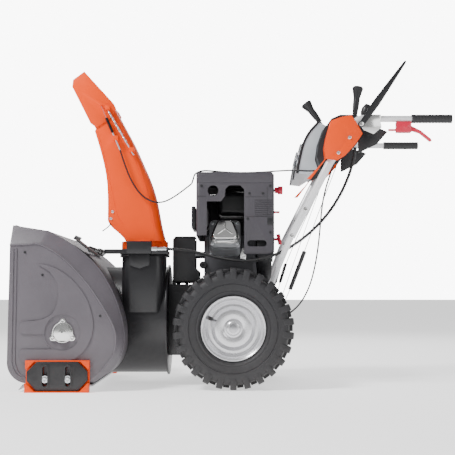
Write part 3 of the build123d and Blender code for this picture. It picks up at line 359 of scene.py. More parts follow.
# %% The ring tree: copies of one part spaced round an axis along Y
ring_tree, ring_in, ring_out = new_tree("ring_of_parts", Part="Object", Count="Int", Centre="Vector",
                                        Phase="Float", Finish="Material")
points = ring_tree.nodes.new("GeometryNodePoints")
index = ring_tree.nodes.new("GeometryNodeInputIndex")
info = ring_tree.nodes.new("GeometryNodeObjectInfo")
place = ring_tree.nodes.new("GeometryNodeInstanceOnPoints")
turn_part = ring_tree.nodes.new("ShaderNodeCombineXYZ")
euler = ring_tree.nodes.new("FunctionNodeEulerToRotation")
share = maths(ring_tree, "DIVIDE", index.outputs[0], ring_in.outputs["Count"])
angle_out = maths(ring_tree, "ADD", maths(ring_tree, "MULTIPLY", share, 2 * pi), ring_in.outputs["Phase"])
for a, b in ((ring_in.outputs["Count"], points.inputs["Count"]), (ring_in.outputs["Centre"], points.inputs["Position"]),
             (points.outputs[0], place.inputs["Points"]), (ring_in.outputs["Part"], info.inputs["Object"]),
             (info.outputs["Geometry"], place.inputs["Instance"]), (angle_out, turn_part.inputs["Y"]),
             (turn_part.outputs[0], euler.inputs[0]), (euler.outputs[0], place.inputs["Rotation"])):
    ring_tree.links.new(a, b)
close_tree(ring_tree, ring_in, ring_out, place.outputs[0])

# %% The row tree: copies of one part on a straight row
row_tree, row_in, row_out = new_tree("row_of_parts", Part="Object", Count="Int", Start="Vector", Step="Vector",
                                     Finish="Material")
line = row_tree.nodes.new("GeometryNodeMeshLine")
info = row_tree.nodes.new("GeometryNodeObjectInfo")
place = row_tree.nodes.new("GeometryNodeInstanceOnPoints")
for a, b in ((row_in.outputs["Count"], line.inputs["Count"]), (row_in.outputs["Start"], line.inputs["Start Location"]),
             (row_in.outputs["Step"], line.inputs["Offset"]), (line.outputs[0], place.inputs["Points"]),
             (row_in.outputs["Part"], info.inputs["Object"]), (info.outputs["Geometry"], place.inputs["Instance"])):
    row_tree.links.new(a, b)
close_tree(row_tree, row_in, row_out, place.outputs[0])

# %% The seating tree: one part on each point, turned to the point's own normal
seat_tree, seat_in, seat_out = new_tree("parts_on_seats", Part="Object", Finish="Material")
info = seat_tree.nodes.new("GeometryNodeObjectInfo")
place = seat_tree.nodes.new("GeometryNodeInstanceOnPoints")
aim = seat_tree.nodes.new("FunctionNodeAlignRotationToVector")
facing = seat_tree.nodes.new("GeometryNodeInputNamedAttribute")
facing.data_type = "FLOAT_VECTOR"
facing.inputs["Name"].default_value = "facing"
aim.axis = "Z"
for a, b in ((seat_in.outputs["Geometry"], place.inputs["Points"]), (seat_in.outputs["Part"], info.inputs["Object"]),
             (info.outputs["Geometry"], place.inputs["Instance"]), (facing.outputs[0], aim.inputs["Vector"]),
             (aim.outputs[0], place.inputs["Rotation"])):
    seat_tree.links.new(a, b)
close_tree(seat_tree, seat_in, seat_out, place.outputs[0])

# %% The bead tree: a round rib swept along a drawn line
bead_tree, bead_in, bead_out = new_tree("bead_along_line", Radius="Float", Finish="Material")
to_curve = bead_tree.nodes.new("GeometryNodeMeshToCurve")
ring = bead_tree.nodes.new("GeometryNodeCurvePrimitiveCircle")
ring.inputs["Resolution"].default_value = 10
sweep = bead_tree.nodes.new("GeometryNodeCurveToMesh")
sweep.inputs["Fill Caps"].default_value = True
for a, b in ((bead_in.outputs["Geometry"], to_curve.inputs[0]), (bead_in.outputs["Radius"], ring.inputs["Radius"]),
             (to_curve.outputs[0], sweep.inputs["Curve"]), (ring.outputs[0], sweep.inputs["Profile Curve"])):
    bead_tree.links.new(a, b)
close_tree(bead_tree, bead_in, bead_out, sweep.outputs[0])
print("node trees:", [t.name for t in bpy.data.node_groups])


# %% [markdown]
# ## Drawing tools
# Three ways of making a shape: a line of points for the bead tree, a flat outline given
# thickness and a rolled edge, and a profile turned on a lathe.

# %% Lines, plates and lathe work
def curve_points(points, per_span=8):
    """Smooth line through the points, by Catmull and Rom's rule."""
    pts = [Vector(p) for p in points]
    count = len(pts)
    out = []
    for i in range(count - 1):
        a, b, c, d = (pts[min(max(k, 0), count - 1)] for k in (i - 1, i, i + 1, i + 2))
        for step in range(per_span):
            t = step / per_span
            out.append(0.5 * (2 * b + (c - a) * t + (2 * a - 5 * b + 4 * c - d) * t * t
                              + (3 * b - a - 3 * c + d) * t ** 3))
    return out + [pts[-1]]


def line_mesh(name, chains):
    """Edges along chains of points, given in metres."""
    verts, edges = [], []
    for chain in chains:
        first = len(verts)
        verts += [tuple(p) for p in chain]
        edges += [(first + i, first + i + 1) for i in range(len(chain) - 1)]
    mesh = bpy.data.meshes.new(name)
    mesh.from_pydata(verts, edges, [])
    return bpy.data.objects.new(name + "_line", mesh)


def beads(name, chains, radius, finish):
    return grow(bead_tree, name, line_mesh(name, chains), Radius=mm(radius), Finish=finish)


def plate(name, outline, depth, finish, edge=0.6, place=Matrix.Identity(4), steps=2):
    """A flat outline in millimetres with a thickness along its own Z and rolled edges."""
    work = bmesh.new()
    base = [work.verts.new((x * MM, y * MM, 0)) for x, y in outline]
    face = work.faces.new(base)
    top = bmesh.ops.extrude_face_region(work, geom=[face])
    moved = [v for v in top["geom"] if isinstance(v, bmesh.types.BMVert)]
    bmesh.ops.translate(work, verts=moved, vec=(0, 0, mm(depth)))
    bmesh.ops.recalc_face_normals(work, faces=work.faces)
    mesh = mesh_from(work, name)
    rough_copy = show(bpy.data.objects.new(name + "_rough", mesh))
    bevel = rough_copy.modifiers.new("edge", "BEVEL")
    bevel.width = mm(edge)
    bevel.segments = steps
    bevel.limit_method = "ANGLE"
    bevel.angle_limit = radians(40)
    made = plain_mesh(rough_copy, name)
    drop(rough_copy)
    made.data.transform(place)
    if place.determinant() < 0:
        made.data.flip_normals()
    return paint(smooth(made, 45), finish)


def pressed(name, outline, steps, finish, place):
    """A pressed pad: the outline is drawn in and raised in steps of (inwards, upwards)."""
    bm = bmesh.new()
    face = bm.faces.new([bm.verts.new((mm(a), mm(b), 0)) for a, b in outline])
    bm.normal_update()
    if face.normal.z < 0:
        face.normal_flip()
    for inwards, upwards in steps:
        bmesh.ops.inset_region(bm, faces=[face], thickness=mm(inwards), depth=mm(upwards), use_even_offset=True)
    mesh = mesh_from(bm, name)
    mesh.transform(place)
    if place.determinant() < 0:
        mesh.flip_normals()
    return paint(smooth(bpy.data.objects.new(name, mesh), 50), finish)


def side_place(x, y, z, out=-1):
    """Plate plane standing upright: outline (x, z), thickness towards the side out."""
    return Matrix(((1, 0, 0, mm(x)), (0, 0, out, mm(y)), (0, 1, 0, mm(z)), (0, 0, 0, 1)))


def lathe(name, profile, centre, finish, steps=72, axis="Y", closed=True, angle=32):
    """A closed (across, radius) outline in millimetres turned about an axis through centre."""
    work = bmesh.new()
    rings = []
    for i in range(steps):
        a = 2 * pi * i / steps
        row = []
        for across, r in profile:
            u, v = r * cos(a), r * sin(a)
            point = {"Y": (u, across, v), "X": (across, u, v), "Z": (u, v, across)}[axis]
            row.append(work.verts.new(Vector(point) * MM + mm(*centre)))
        rings.append(row)
    count = len(profile)
    for i in range(steps):
        a, b = rings[i], rings[(i + 1) % steps]
        for k in range(count if closed else count - 1):
            n = (k + 1) % count
            work.faces.new((a[k], a[n], b[n], b[k]))
    bmesh.ops.remove_doubles(work, verts=work.verts, dist=1e-6)
    bmesh.ops.recalc_face_normals(work, faces=work.faces)
    mesh = mesh_from(work, name)
    return paint(smooth(bpy.data.objects.new(name, mesh), angle), finish)


def joined(name, *objects):
    """Several finished meshes as one piece; each keeps its own finish."""
    work = bmesh.new()
    mats = []
    for obj in objects:
        shift = len(mats)
        mats += list(obj.data.materials)
        start = len(work.faces)
        work.from_mesh(obj.data)
        work.faces.ensure_lookup_table()
        for face in work.faces[start:]:
            face.material_index += shift
    mesh = bpy.data.meshes.new(name)
    for mat in mats:
        mesh.materials.append(mat)
    work.to_mesh(mesh)
    work.free()
    for obj in objects:
        drop(obj)
    return bpy.data.objects.new(name, mesh)


def both(chain):
    """The line and its mirror image across the machine's middle."""
    return [chain, [Vector((p[0], -p[1], p[2])) for p in chain]]


def at_y(points, y):
    return [mm(x, y, z) for x, z in points]


# %% [markdown]
# ## Screws
# One hexagon flange screw serves the whole machine: a washer face, a six-sided head with turned
# corners, and a dished top. It is made once and the seating tree puts it where it is wanted.

# %% A hexagon screw head
def hex_screw(name, across, finish):
    """Six-sided head with a flange, standing on Z = 0, about `across` millimetres over its flats."""
    r = across / 2 / cos(pi / 6)
    levels = [(r * 1.28, 0.0, 24), (r * 1.28, across * 0.07, 24), (r * 1.02, across * 0.13, 6),
              (r, across * 0.42, 6), (r * 0.86, across * 0.52, 6), (r * 0.55, across * 0.50, 6)]
    work = bmesh.new()
    rows = []
    for radius, z, sides in levels:
        row = []
        for i in range(24):
            a = 2 * pi * i / 24
            if sides == 6:
                k = (a + pi / 6) % (pi / 3) - pi / 6
                reach = radius * cos(pi / 6) / cos(k)
            else:
                reach = radius
            row.append(work.verts.new((reach * cos(a) * MM, reach * sin(a) * MM, z * MM)))
        rows.append(row)
    for low, high in zip(rows, rows[1:]):
        for i in range(24):
            n = (i + 1) % 24
            work.faces.new((low[i], low[n], high[n], high[i]))
    work.faces.new(rows[0][::-1])
    work.faces.new(rows[-1])
    mesh = mesh_from(work, name)
    return paint(smooth(bpy.data.objects.new(name, mesh)), finish)


def seats(name, places):
    """Points in millimetres with the direction that each screw faces."""
    mesh = bpy.data.meshes.new(name)
    mesh.from_pydata([tuple(mm(*p)) for p, _ in places], [], [])
    facing_data = mesh.attributes.new("facing", "FLOAT_VECTOR", "POINT")
    for i, (_, way) in enumerate(places):
        facing_data.data[i].vector = way
    return bpy.data.objects.new(name + "_seats", mesh)


def screws(name, places, across, finish):
    part = show(hex_screw(name + "_pattern", across, finish))
    made = grow(seat_tree, name, seats(name, places), Part=part, Finish=finish)
    drop(part)
    return made


# %% [markdown]
# ## Auger housing
# A wrapped sheet between two pressed side plates. Each plate carries a raised crescent that runs
# round the bearing and sends two stiffening fingers to the front, a double bead behind the
# mouth, and a rolled seam where the plate meets its shoulder. Bump alone would leave the plate's
# outline flat, so the crescent is a real pad raised in three steps and the beads are swept ribs.

# %% The housing and its pressed plates
AUGER_X, AUGER_Z, FACE_Y, EDGE_Y = -570.0, 196.0, 356.0, 316.0
rolled_piece("auger_housing", "housing_sheet", charcoal_coat, 1.0)

PRESS_STEPS = ((1.0, 0.9), (2.6, 4.2), (1.6, 0.7))
crescent = [(x, z) for x, _, z in [tuple(p) for p in curve_points(
    [(-660, 0, 425), (-616, 0, 416), (-576, 0, 397), (-536, 0, 365), (-495, 0, 313), (-475, 0, 260), (-469, 0, 220),
     (-475, 0, 180), (-495, 0, 140), (-528, 0, 110), (-570, 0, 99)], 6)]]
crescent += [(-640, 98), (-704, 98), (-712, 106), (-714, 119), (-712, 132), (-704, 140), (-640, 140)]
crescent += [(AUGER_X + 60 * cos(radians(a)), AUGER_Z + 60 * sin(radians(a))) for a in range(-111, 190, 9)]
crescent += [(-640, 190), (-704, 190), (-712, 198), (-714, 211), (-712, 224), (-704, 232)]
crescent += [(x, z) for x, _, z in [tuple(p) for p in curve_points(
    [(-664, 0, 234), (-636, 0, 240), (-608, 0, 256), (-591, 0, 289), (-586, 0, 329), (-594, 0, 365),
     (-616, 0, 397)], 5)]]

plate_edge = [(-751, 487), (-700, 488), (-650, 488), (-575, 444), (-498, 366), (-432, 272), (-396, 196), (-402, 122),
              (-444, 66)]
front_beads = [[(x - 742, 474), (x - 742, 300), (x - 742, 120), (x - 740, 92), (x - 728, 62), (x - 706, 46)]
               for x in (3, 14)]
for side, word in ((-1, "left"), (1, "right")):
    pad = pressed("crescent_" + word, crescent, PRESS_STEPS, charcoal_coat, side_place(0, side * FACE_Y, 0, side))
    lines = [curve_points(at_y(plate_edge, side * FACE_Y), 6)]
    lines += [curve_points(at_y(b, side * FACE_Y), 6) for b in front_beads]
    ribs = beads("ribs_" + word, lines, 3.0, charcoal_coat)
    rim_ring = lathe("recess_" + word, [(side * (FACE_Y + 2.1 + 0.9 * sin(a)), 63 + 2.2 * cos(a))
                                        for a in [k * pi / 4 for k in range(8)]], (AUGER_X, 0, AUGER_Z), charcoal_coat)
    hand_over(joined("side_plate_pressing_" + word, pad, ribs, rim_ring), "chassis", "charcoal_coat")
plugs = screws("housing_plugs", [((x, side * FACE_Y, z), (0, side, 0)) for side in (-1, 1)
                                 for x, z in ((-700, 462), (-640, 386), (-446, 250))], 6, black_plastic)
hand_over(plugs, "chassis", "black_plastic")
wrap_edge = [(-742, 555), (-632, 537), (-545, 487), (-462, 413), (-404, 315), (-372, 205), (-382, 118), (-432, 52)]
seams = beads("wrap_seams", both([p for p in curve_points(at_y(wrap_edge[1:], -EDGE_Y), 6)]), 1.3, charcoal_coat)
hand_over(seams, "chassis", "charcoal_coat")
lip = beads("mouth_hem", [[mm(-741, y, 555) for y in (-EDGE_Y, 0, EDGE_Y)]], 2.0, charcoal_coat)
hand_over(lip, "chassis", "charcoal_coat")
rolled_piece("scraper_blade", "scraper_strip", pale_steel, 0.6)
print("housing ready")

# %% [markdown]
# ## Drum, shafts and augers
# The second stage stands behind the housing: a drum with a square neck under the chute. Its
# fan, the augers and the worm box inside need no more than a rolled edge and their own finish.

# %% Drum and everything that turns in it
for node, name, finish, radius in (
        ("impeller_housing", "fan_drum", black_coat, 2.0), ("auger_shaft", "auger_axle", machined_steel, 0.4),
        ("auger_flights", "auger_ribbons", black_coat, 0.6), ("auger_gearbox", "worm_box", dark_casting, 1.6),
        ("impeller_shaft", "fan_shaft", machined_steel, 0.4), ("impeller", "fan", orange_coat, 0.7),
        ("flange_bearings", "flange_bearing_set", bright_zinc, 0.7),
        ("chute_drive_box", "chute_drive", black_coat, 1.2),
        ("chassis_frame", "gear_case", black_coat, 1.5), ("belt_cover", "belt_guard", black_plastic, 3.0),
        ("impeller_pulley", "fan_pulley", dark_casting, 0.5), ("crankshaft", "crank", machined_steel, 0.4),
        ("belts_and_chain", "belts_and_chain_loop", soft_rubber, 0.5),
        ("friction_disc", "drive_disc", machined_steel, 0.5),
        ("friction_wheel", "drive_roller", soft_rubber, 0.7), ("hex_shaft", "hexagon_shaft", machined_steel, 0.3),
        ("drive_axle", "wheel_axle", machined_steel, 0.6)):
    rolled_piece(node, name, finish, radius)

domes = [lathe("dome" + str(side), [(side * (360 + 10.5 * cos(a)), 24.5 * sin(a)) for a in
                                   [k * pi / 16 for k in range(9)]] + [(side * 360, 24.5)], (AUGER_X, 0, AUGER_Z),
               bright_zinc, 48) for side in (-1, 1)]
domes += [lathe("flange" + str(side), [(side * (360 + 1.6 * sin(a)), 33 + 2.2 * cos(a)) for a in
                                      [k * pi / 4 for k in range(8)]], (AUGER_X, 0, AUGER_Z), bright_zinc, 48)
          for side in (-1, 1)]
hand_over(joined("bearing_domes", *domes), "chassis", "zinc")

# %% [markdown]
# The skid shoe is a bent orange tray. Its wear pad is black, with a raised rim round both slots.

# %% Skid shoes
for word, side in (("left", -1), ("right", 1)):
    rolled_piece("skid_shoe_" + word, "skid_tray_" + word, orange_coat, 1.0)
    rolled_piece("skid_pad_" + word, "wear_pad_" + word, black_plastic, 1.3)

# %% [markdown]
# ## Chute and deflector
# A folded orange sheet: a crease runs down each side near the front edge and another near the
# curved back. The deflector is a hood on two pins; a coil spring draws it down.

# %% Chute, deflector and their creases
CHUTE_LEFT, CHUTE_RIGHT = -178.0, -18.0
rolled_piece("chute", "chute_sheet", orange_coat, 0.9)
rolled_piece("deflector", "deflector_hood", orange_coat, 1.0)
rolled_piece("chute_ring", "chute_gear_ring", black_plastic, 0.6)
front_crease = [(-489, 904), (-463, 813), (-436, 694), (-414, 604), (-390, 570)]
rear_crease = [(-424, 962), (-386, 886), (-350, 806), (-322, 728), (-298, 645), (-280, 560)]
creases = [curve_points(at_y(line, y), 6) for line in (front_crease, rear_crease) for y in (CHUTE_LEFT, CHUTE_RIGHT)]
hand_over(beads("chute_creases", creases, 1.2, orange_coat), "chute", "orange_coat")
chute_screws = screws("chute_screws", [((x, CHUTE_LEFT - 0.2, z), (0, -1, 0)) for x, z in ((-431, 615), (-437, 590))]
                      + [((x, CHUTE_RIGHT + 0.2, z), (0, 1, 0)) for x, z in ((-431, 615), (-437, 590))], 7, zinc)
hand_over(chute_screws, "chute", "zinc")
stay = beads("chute_stay", [curve_points([mm(-437, -181, 572), mm(-446, -182, 560), mm(-466, -182, 545)], 6)], 2.2,
             black_coat)
hand_over(stay, "chute", "black_coat")

# %% The spring tree: a coil wound by the node that draws spirals
coil_tree, coil_in, coil_out = new_tree("coil_spring", Turns="Float", Radius="Float", Length="Float", Wire="Float",
                                        Finish="Material")
spiral = coil_tree.nodes.new("GeometryNodeCurveSpiral")
spiral.inputs["Resolution"].default_value = 14
wire = coil_tree.nodes.new("GeometryNodeCurvePrimitiveCircle")
wire.inputs["Resolution"].default_value = 6
wind = coil_tree.nodes.new("GeometryNodeCurveToMesh")
wind.inputs["Fill Caps"].default_value = True
for a, b in ((coil_in.outputs["Turns"], spiral.inputs["Rotations"]),
             (coil_in.outputs["Radius"], spiral.inputs["Start Radius"]),
             (coil_in.outputs["Radius"], spiral.inputs["End Radius"]),
             (coil_in.outputs["Length"], spiral.inputs["Height"]),
             (coil_in.outputs["Wire"], wire.inputs["Radius"]), (spiral.outputs[0], wind.inputs["Curve"]),
             (wire.outputs[0], wind.inputs["Profile Curve"])):
    coil_tree.links.new(a, b)
close_tree(coil_tree, coil_in, coil_out, wind.outputs[0])


def lay_along(obj, start, way):
    """Turn a piece drawn on Z so that it starts at a point and runs a given way."""
    turn = Vector(way).normalized().to_track_quat("Z", "Y").to_matrix().to_4x4()
    obj.data.transform(Matrix.Translation(mm(*start)) @ turn)
    return obj


def coil(name, start, way, turns, radius, length, wire_radius, finish):
    made = grow(coil_tree, name, Turns=float(turns), Radius=mm(radius - wire_radius), Length=mm(length),
                Wire=mm(wire_radius), Finish=finish)
    return lay_along(made, start, way)


def bar_between(name, start, way, a, b, radius, finish):
    """A turned pin with chamfered ends, from distance a to b along a direction."""
    edge = min(0.8, radius * 0.3)
    profile = [(a, 0.0), (a, radius - edge), (a + edge, radius), (b - edge, radius), (b, radius - edge), (b, 0.0)]
    return lay_along(lathe(name, profile, (0, 0, 0), finish, 20, "Z", closed=False), start, way)


# %% Return spring and deflector cable end
SPRING_TOP, SPRING_WAY = Vector((-449, -194, 975)), Vector((85, 0, -147)).normalized()
spring = joined("deflector_return_spring",
                coil("coil", SPRING_TOP + SPRING_WAY * 4, SPRING_WAY, 46, 4.5, 130, 0.9, zinc),
                bar_between("spring_core", SPRING_TOP, SPRING_WAY, 0.0, 186, 2.2, zinc))
show(spring)
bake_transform(spring)
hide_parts("deflector_spring")

CABLE_PIN, CABLE_WAY = Vector((-473, -194, 991)), Vector((69, 0, -159)).normalized()
cable_end = joined("deflector_cable_end",
                   bar_between("inner_wire", CABLE_PIN, CABLE_WAY, 0.0, 48, 1.0, machined_steel),
                   coil("buffer", CABLE_PIN + CABLE_WAY * 46, CABLE_WAY, 13, 6.0, 58, 1.6, black_coat),
                   bar_between("buffer_core", CABLE_PIN, CABLE_WAY, 46, 104, 3.6, black_coat),
                   bar_between("adjuster", CABLE_PIN, CABLE_WAY, 104, 172.6, 2.9, zinc),
                   bar_between("lock_nut", CABLE_PIN, CABLE_WAY, 122, 128, 5.2, zinc))
show(cable_end)
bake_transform(cable_end)
print("chute ready")

# %% [markdown]
# ## Clean-out tool
# A black plastic shovel with a round handle, clipped on the housing's shoulder.

# %% Clean-out tool and its clips
rolled_piece("cleanout_tool", "cleanout_shovel", black_plastic, 1.2)
clips = [beads("clip" + str(y), [curve_points([mm(-505 + 12 * cos(a), y, 482 + 12 * sin(a)) for a in
                                               [radians(d) for d in range(-190, 30, 20)]], 3)], 1.6, black_coat)
         for y in (-180, -60)]
hand_over(joined("tool_clips", *clips), "chassis", "black_coat")

# %% [markdown]
# ## Wheels
# The carcass and the dished rim are lathe work. The tread is a rule: two rows of lugs, the
# second set half a step behind the first, each reaching over the shoulder and down the side.

# %% Tyres and rims
WHEEL_CENTRE = (-3.0, 250.0, 206.0)
half_tyre = [(0, 191.5), (40, 191), (58, 188.5), (67, 184), (72.5, 175), (74.5, 164), (73.6, 153), (71.4, 151.4),
             (71.2, 149.4), (72.4, 148), (70.8, 138), (68.8, 129), (67.0, 126.4), (68.4, 124), (68.8, 121),
             (66.5, 118.5), (61, 115.4), (57.6, 112.4), (53, 104), (51.5, 102.5), (42, 100)]
tyre_profile = half_tyre + [(-a, r) for a, r in half_tyre[::-1][:-1]]
rim_profile = [(-62, 106.8), (-62, 109), (-60.8, 110.6), (-58.6, 111), (-56.6, 109.4), (-53.5, 102.2), (-38, 98.2),
               (-22, 88), (22, 88), (38, 98.2), (53.5, 102.2), (56.6, 109.4), (58.6, 111), (60.8, 110.6), (62, 109),
               (62, 106.8), (60, 105.2), (51, 97.4), (36, 94), (20, 84.2), (-18, 84.2), (-20.5, 76), (-24, 70.5),
               (-30, 65), (-34, 60.5), (-35.4, 45), (-34.6, 37), (-30, 31.5), (-27.4, 27), (-26, 17.5), (52, 17.5),
               (52, 10), (-40, 10), (-40.5, 15), (-40, 19), (-38.2, 22), (-34.6, 26), (-33.8, 31), (-37.4, 36.5),
               (-38.6, 44), (-38.4, 57), (-36.6, 63), (-31.5, 68), (-26.8, 72.5), (-24.6, 79), (-25, 86), (-28, 90),
               (-36, 94.2), (-51, 97.2), (-57, 101), (-60.4, 105)]
lug_outline = [(184, 8), (203.5, 8), (205.6, 11), (205.8, 60), (201, 70.5), (190, 74.6), (172, 74.8), (160, 72.4),
               (160, 66), (180, 62)]


def wheel(word, side):
    x, y, z = WHEEL_CENTRE
    centre = (x, side * y, z)
    out = -side
    carcass = lathe("carcass_" + word, tyre_profile, centre, tyre_rubber, 120)
    rows = []
    for row, phase in ((1, 0.0), (-1, pi / 26)):
        outline = [(r, row * a) for r, a in lug_outline]
        lug = show(plate("lug", outline, 22, tyre_rubber, 1.8, Matrix.Translation((0, 0, -mm(11)))))
        rows.append(grow(ring_tree, "tread" + str(row), Part=lug, Count=26, Centre=mm(*centre), Phase=phase,
                         Finish=tyre_rubber))
        drop(lug)
    centre_rib = show(plate("rib", [(188, -7), (196, -6), (196, 6), (188, 7)], 12, tyre_rubber, 1.2,
                            Matrix.Translation((0, 0, -mm(6)))))
    rows.append(grow(ring_tree, "centre_ribs", Part=centre_rib, Count=52, Centre=mm(*centre), Phase=0.05,
                     Finish=tyre_rubber))
    drop(centre_rib)
    hand_over(joined("tyre_with_lugs_" + word, carcass, *rows), "wheel_" + word, "tyre", "tyre_" + word)
    dish = lathe("dish_" + word, [(out * a, r) for a, r in rim_profile], centre, rim_paint, 96, angle=28)
    valve = lathe("valve_" + word, [(side * a, r) for a, r in
                                    ((24, 0), (24, 6.5), (28, 6.5), (31, 4.2), (46, 3.4), (46, 4), (53, 4), (53, 0))],
                  (x - 76, side * y, z + 32), soft_rubber, 20, closed=False)
    hand_over(joined("dished_rim_" + word, dish, valve), "wheel_" + word, "rim_coat", "rim_" + word)


wheel("left", -1)
wheel("right", 1)
caps = [lathe("axle_cap" + str(side), [(side * 294, 0), (side * 294, 5), (side * 293, 7.2), (side * 288, 8.4),
                                       (side * 286, 0)], (-3, 0, 206), zinc, 32, closed=False) for side in (-1, 1)]
hand_over(joined("axle_end_caps", *caps), "axle", "steel")
print("wheels ready")

# %% [markdown]
# ## Engine
# The cylinder leans towards the left wheel, so its fins and rocker cover show under the shroud.
# The outer end of the cylinder is bright alloy and the rest is dark: one mesh, painted face by face.

# %% Crankcase, cylinder and rocker cover
TILT = radians(62)
CYL_X, CRANK_Z = -32.0, 468.0
UP_BARREL = Vector((0, -sin(TILT), cos(TILT)))
OVER_BARREL = Vector((0, cos(TILT), sin(TILT)))


def on_barrel(u, v, w):
    """A point measured from the crankshaft: u along X, v across the barrel, w up the barrel."""
    return mm(CYL_X + u, 0, CRANK_Z) + (OVER_BARREL * v + UP_BARREL * w) * MM


engine = rolled("engine_block", "engine_casting", dark_casting, 0.7)
engine.data.materials.append(cast_alloy)
for face in engine.data.polygons:
    away = face.center - mm(CYL_X, 0, CRANK_Z)
    face.material_index = 1 if away.dot(UP_BARREL) > mm(70) and face.center.y < mm(-98) else 0
hand_over(engine, "chassis", "alloy", "engine_block")

cover = rolled("valve_cover", "rocker_cover", bright_zinc, 1.2)
star = beads("star_ribs", [[on_barrel(0, 2, 184.6), on_barrel(u * 0.5, v * 0.5, 184.9), on_barrel(u, v, 184.0)]
                           for u, v in ((-26, -20), (26, -20), (0, 30))], 2.4, bright_zinc)
hand_over(joined("rocker_cover_ribbed", cover, star), "chassis", "zinc", "valve_cover")
head_screws = screws("head_screws", [(tuple(on_barrel(u, v, 153.8) / MM), tuple(UP_BARREL)) for u in (-46, 46)
                                     for v in (-44, 44)], 9, zinc)
hand_over(head_screws, "chassis", "zinc")
BRACKET_OUTLINE = [(-9, -22), (9, -22), (11, -6), (7, 16), (0, 21), (-7, 16), (-11, -6)]
bracket = plate("lifting_bracket", BRACKET_OUTLINE, 3, bright_zinc, 0.7, side_place(34, -101, 470, -1))
filler_ring = lathe("filler_ring", [(-97, 5), (-97, 12), (-99, 13.5), (-104, 13.5), (-106, 12), (-106, 5)],
                    (-111, 0, 428), black_plastic, 32)
hand_over(joined("engine_fittings", bracket, filler_ring), "chassis", "zinc")

# %% [markdown]
# ## Engine cover
# The cover is a moulded box round the tank and cylinder with a shallow lid. Its panels meet in
# dark gaps; a grille of slats stands over the cooling vents, and screws hold it at the corners.

# %% Shroud, lid and muffler
rolled_piece("engine_shroud", "shroud_moulding", shroud_plastic, 1.6)
rolled_piece("shroud_lid", "shroud_lid_moulding", shroud_plastic, 1.8)
rolled_piece("fuel_tank", "tank", black_coat, 1.0)
rolled_piece("muffler", "muffler_and_guard", black_coat, 1.5)
rolled_piece("recoil_starter", "recoil_housing", black_plastic, 1.2)
rolled_piece("fuel_cap", "filler_cap", black_plastic, 1.0)
SHROUD_Y = -195.0
gaps = [[mm(x, SHROUD_Y + 0.2, z) for x, z in line] for line in
        (((39, 666), (118, 666), (118, 700)), ((118, 666), (118, 596)), ((39, 596), (118, 596)),
         ((-130, 668), (-98, 668)), ((118, 594), (142, 594)))]
hand_over(beads("panel_gaps", gaps, 0.8, black_plastic), "chassis", "black_plastic")
hand_over(screws("shroud_screws", [((x, SHROUD_Y - 0.1, z), (0, -1, 0)) for x, z in
                                   ((55, 678), (103, 678), (129, 540), (-115, 705), (129, 705), (49, 588))]
                 + [((x, 190.1, z), (0, 1, 0)) for x, z in ((-110, 700), (120, 700), (-110, 550), (120, 480))],
                 6.5, black_plastic), "chassis", "black_plastic")
# The square notch below the grille is not cut: a black plate on the shroud face paints the shade inside it.
notch_shade_plate = plate("grille_pocket", [(118, 566), (142, 566), (142, 591), (118, 591)], 1.2, black_coat, 0.5,
               side_place(0, SHROUD_Y + 0.3, 0, -1))
hand_over(notch_shade_plate, "chassis", "black_coat")
slat = show(plate("slat", [(-31, -1.2), (31, -1.2), (31, 1.2), (-31, 1.2)], 2.2, shroud_plastic, 0.5,
                  side_place(0, 0, 0, -1)))
slats = grow(row_tree, "cooling_slats", Part=slat, Count=8, Start=mm(106, SHROUD_Y + 1.0, 598.4), Step=mm(0, 0, 7.6),
             Finish=shroud_plastic)
rear_slats = grow(row_tree, "rear_slats", Part=slat, Count=9, Start=mm(80, 192.2, 590), Step=mm(0, 0, 9),
                  Finish=shroud_plastic)
drop(slat)
hand_over(joined("cooling_grilles", slats, rear_slats), "chassis", "charcoal_plastic")
guard_slot = show(plate("guard_slot", [(-60, -3), (60, -3), (62, 0), (60, 3), (-60, 3), (-62, 0)], 1.0, dark_casting,
                        0.4, Matrix(((0, 0, -1, 0), (1, 0, 0, 0), (0, 1, 0, 0), (0, 0, 0, 1)))))
guard = grow(row_tree, "muffler_guard_slots", Part=guard_slot, Count=6, Start=mm(-151.4, -55, 566), Step=mm(0, 0, 12.4),
             Finish=dark_casting)
drop(guard_slot)
hand_over(guard, "chassis", "black_coat")

# %% Red controls of the engine
rolled_piece("recoil_grip", "starter_grip", red_plastic, 1.5)
rolled_piece("choke_knob", "choke_button", red_plastic, 1.5)
rolled_piece("ignition_key", "stop_key", red_plastic, 0.5)
print("engine ready")

# %% [markdown]
# ## Handles and console
# Two bent tubes slide over the lower stubs. Between them hangs the console: a black curved
# panel, orange cheeks, a wide lamp at the front and three levers that stand in slots.

# %% Tubes, grips, cheeks and levers
for node, name, finish, radius in (
        ("handle_lower", "lower_tubes", silver_paint, 0.5), ("handle_upper", "upper_tubes", silver_paint, 0.5),
        ("hand_grips", "grip_sleeves", soft_rubber, 0.5), ("console_wings", "orange_cheeks", orange_coat, 1.0),
        ("console_panel", "dash_panel", black_plastic, 1.2), ("speed_lever", "speed_stick", black_plastic, 0.8),
        ("chute_lever", "chute_stick", black_plastic, 0.8), ("deflector_lever", "deflector_stick", black_plastic, 0.8),
        ("clutch_lever_left", "clutch_paddle_left", black_plastic, 0.8),
        ("clutch_lever_right", "clutch_paddle_right", black_plastic, 0.8),
        ("trigger_fork", "trigger_yoke", red_plastic, 0.6), ("handle_brackets", "handle_fittings", bright_zinc, 0.6),
        ("steering_trigger", "steering_finger", red_plastic, 1.0)):
    rolled_piece(node, name, finish, radius)

# %% [markdown]
# The lamp has a clear cover with upright flutes over a mirrored bowl, a black frame and a
# grey lip below. The cover is painted face by face on one shell; the flutes are a row.

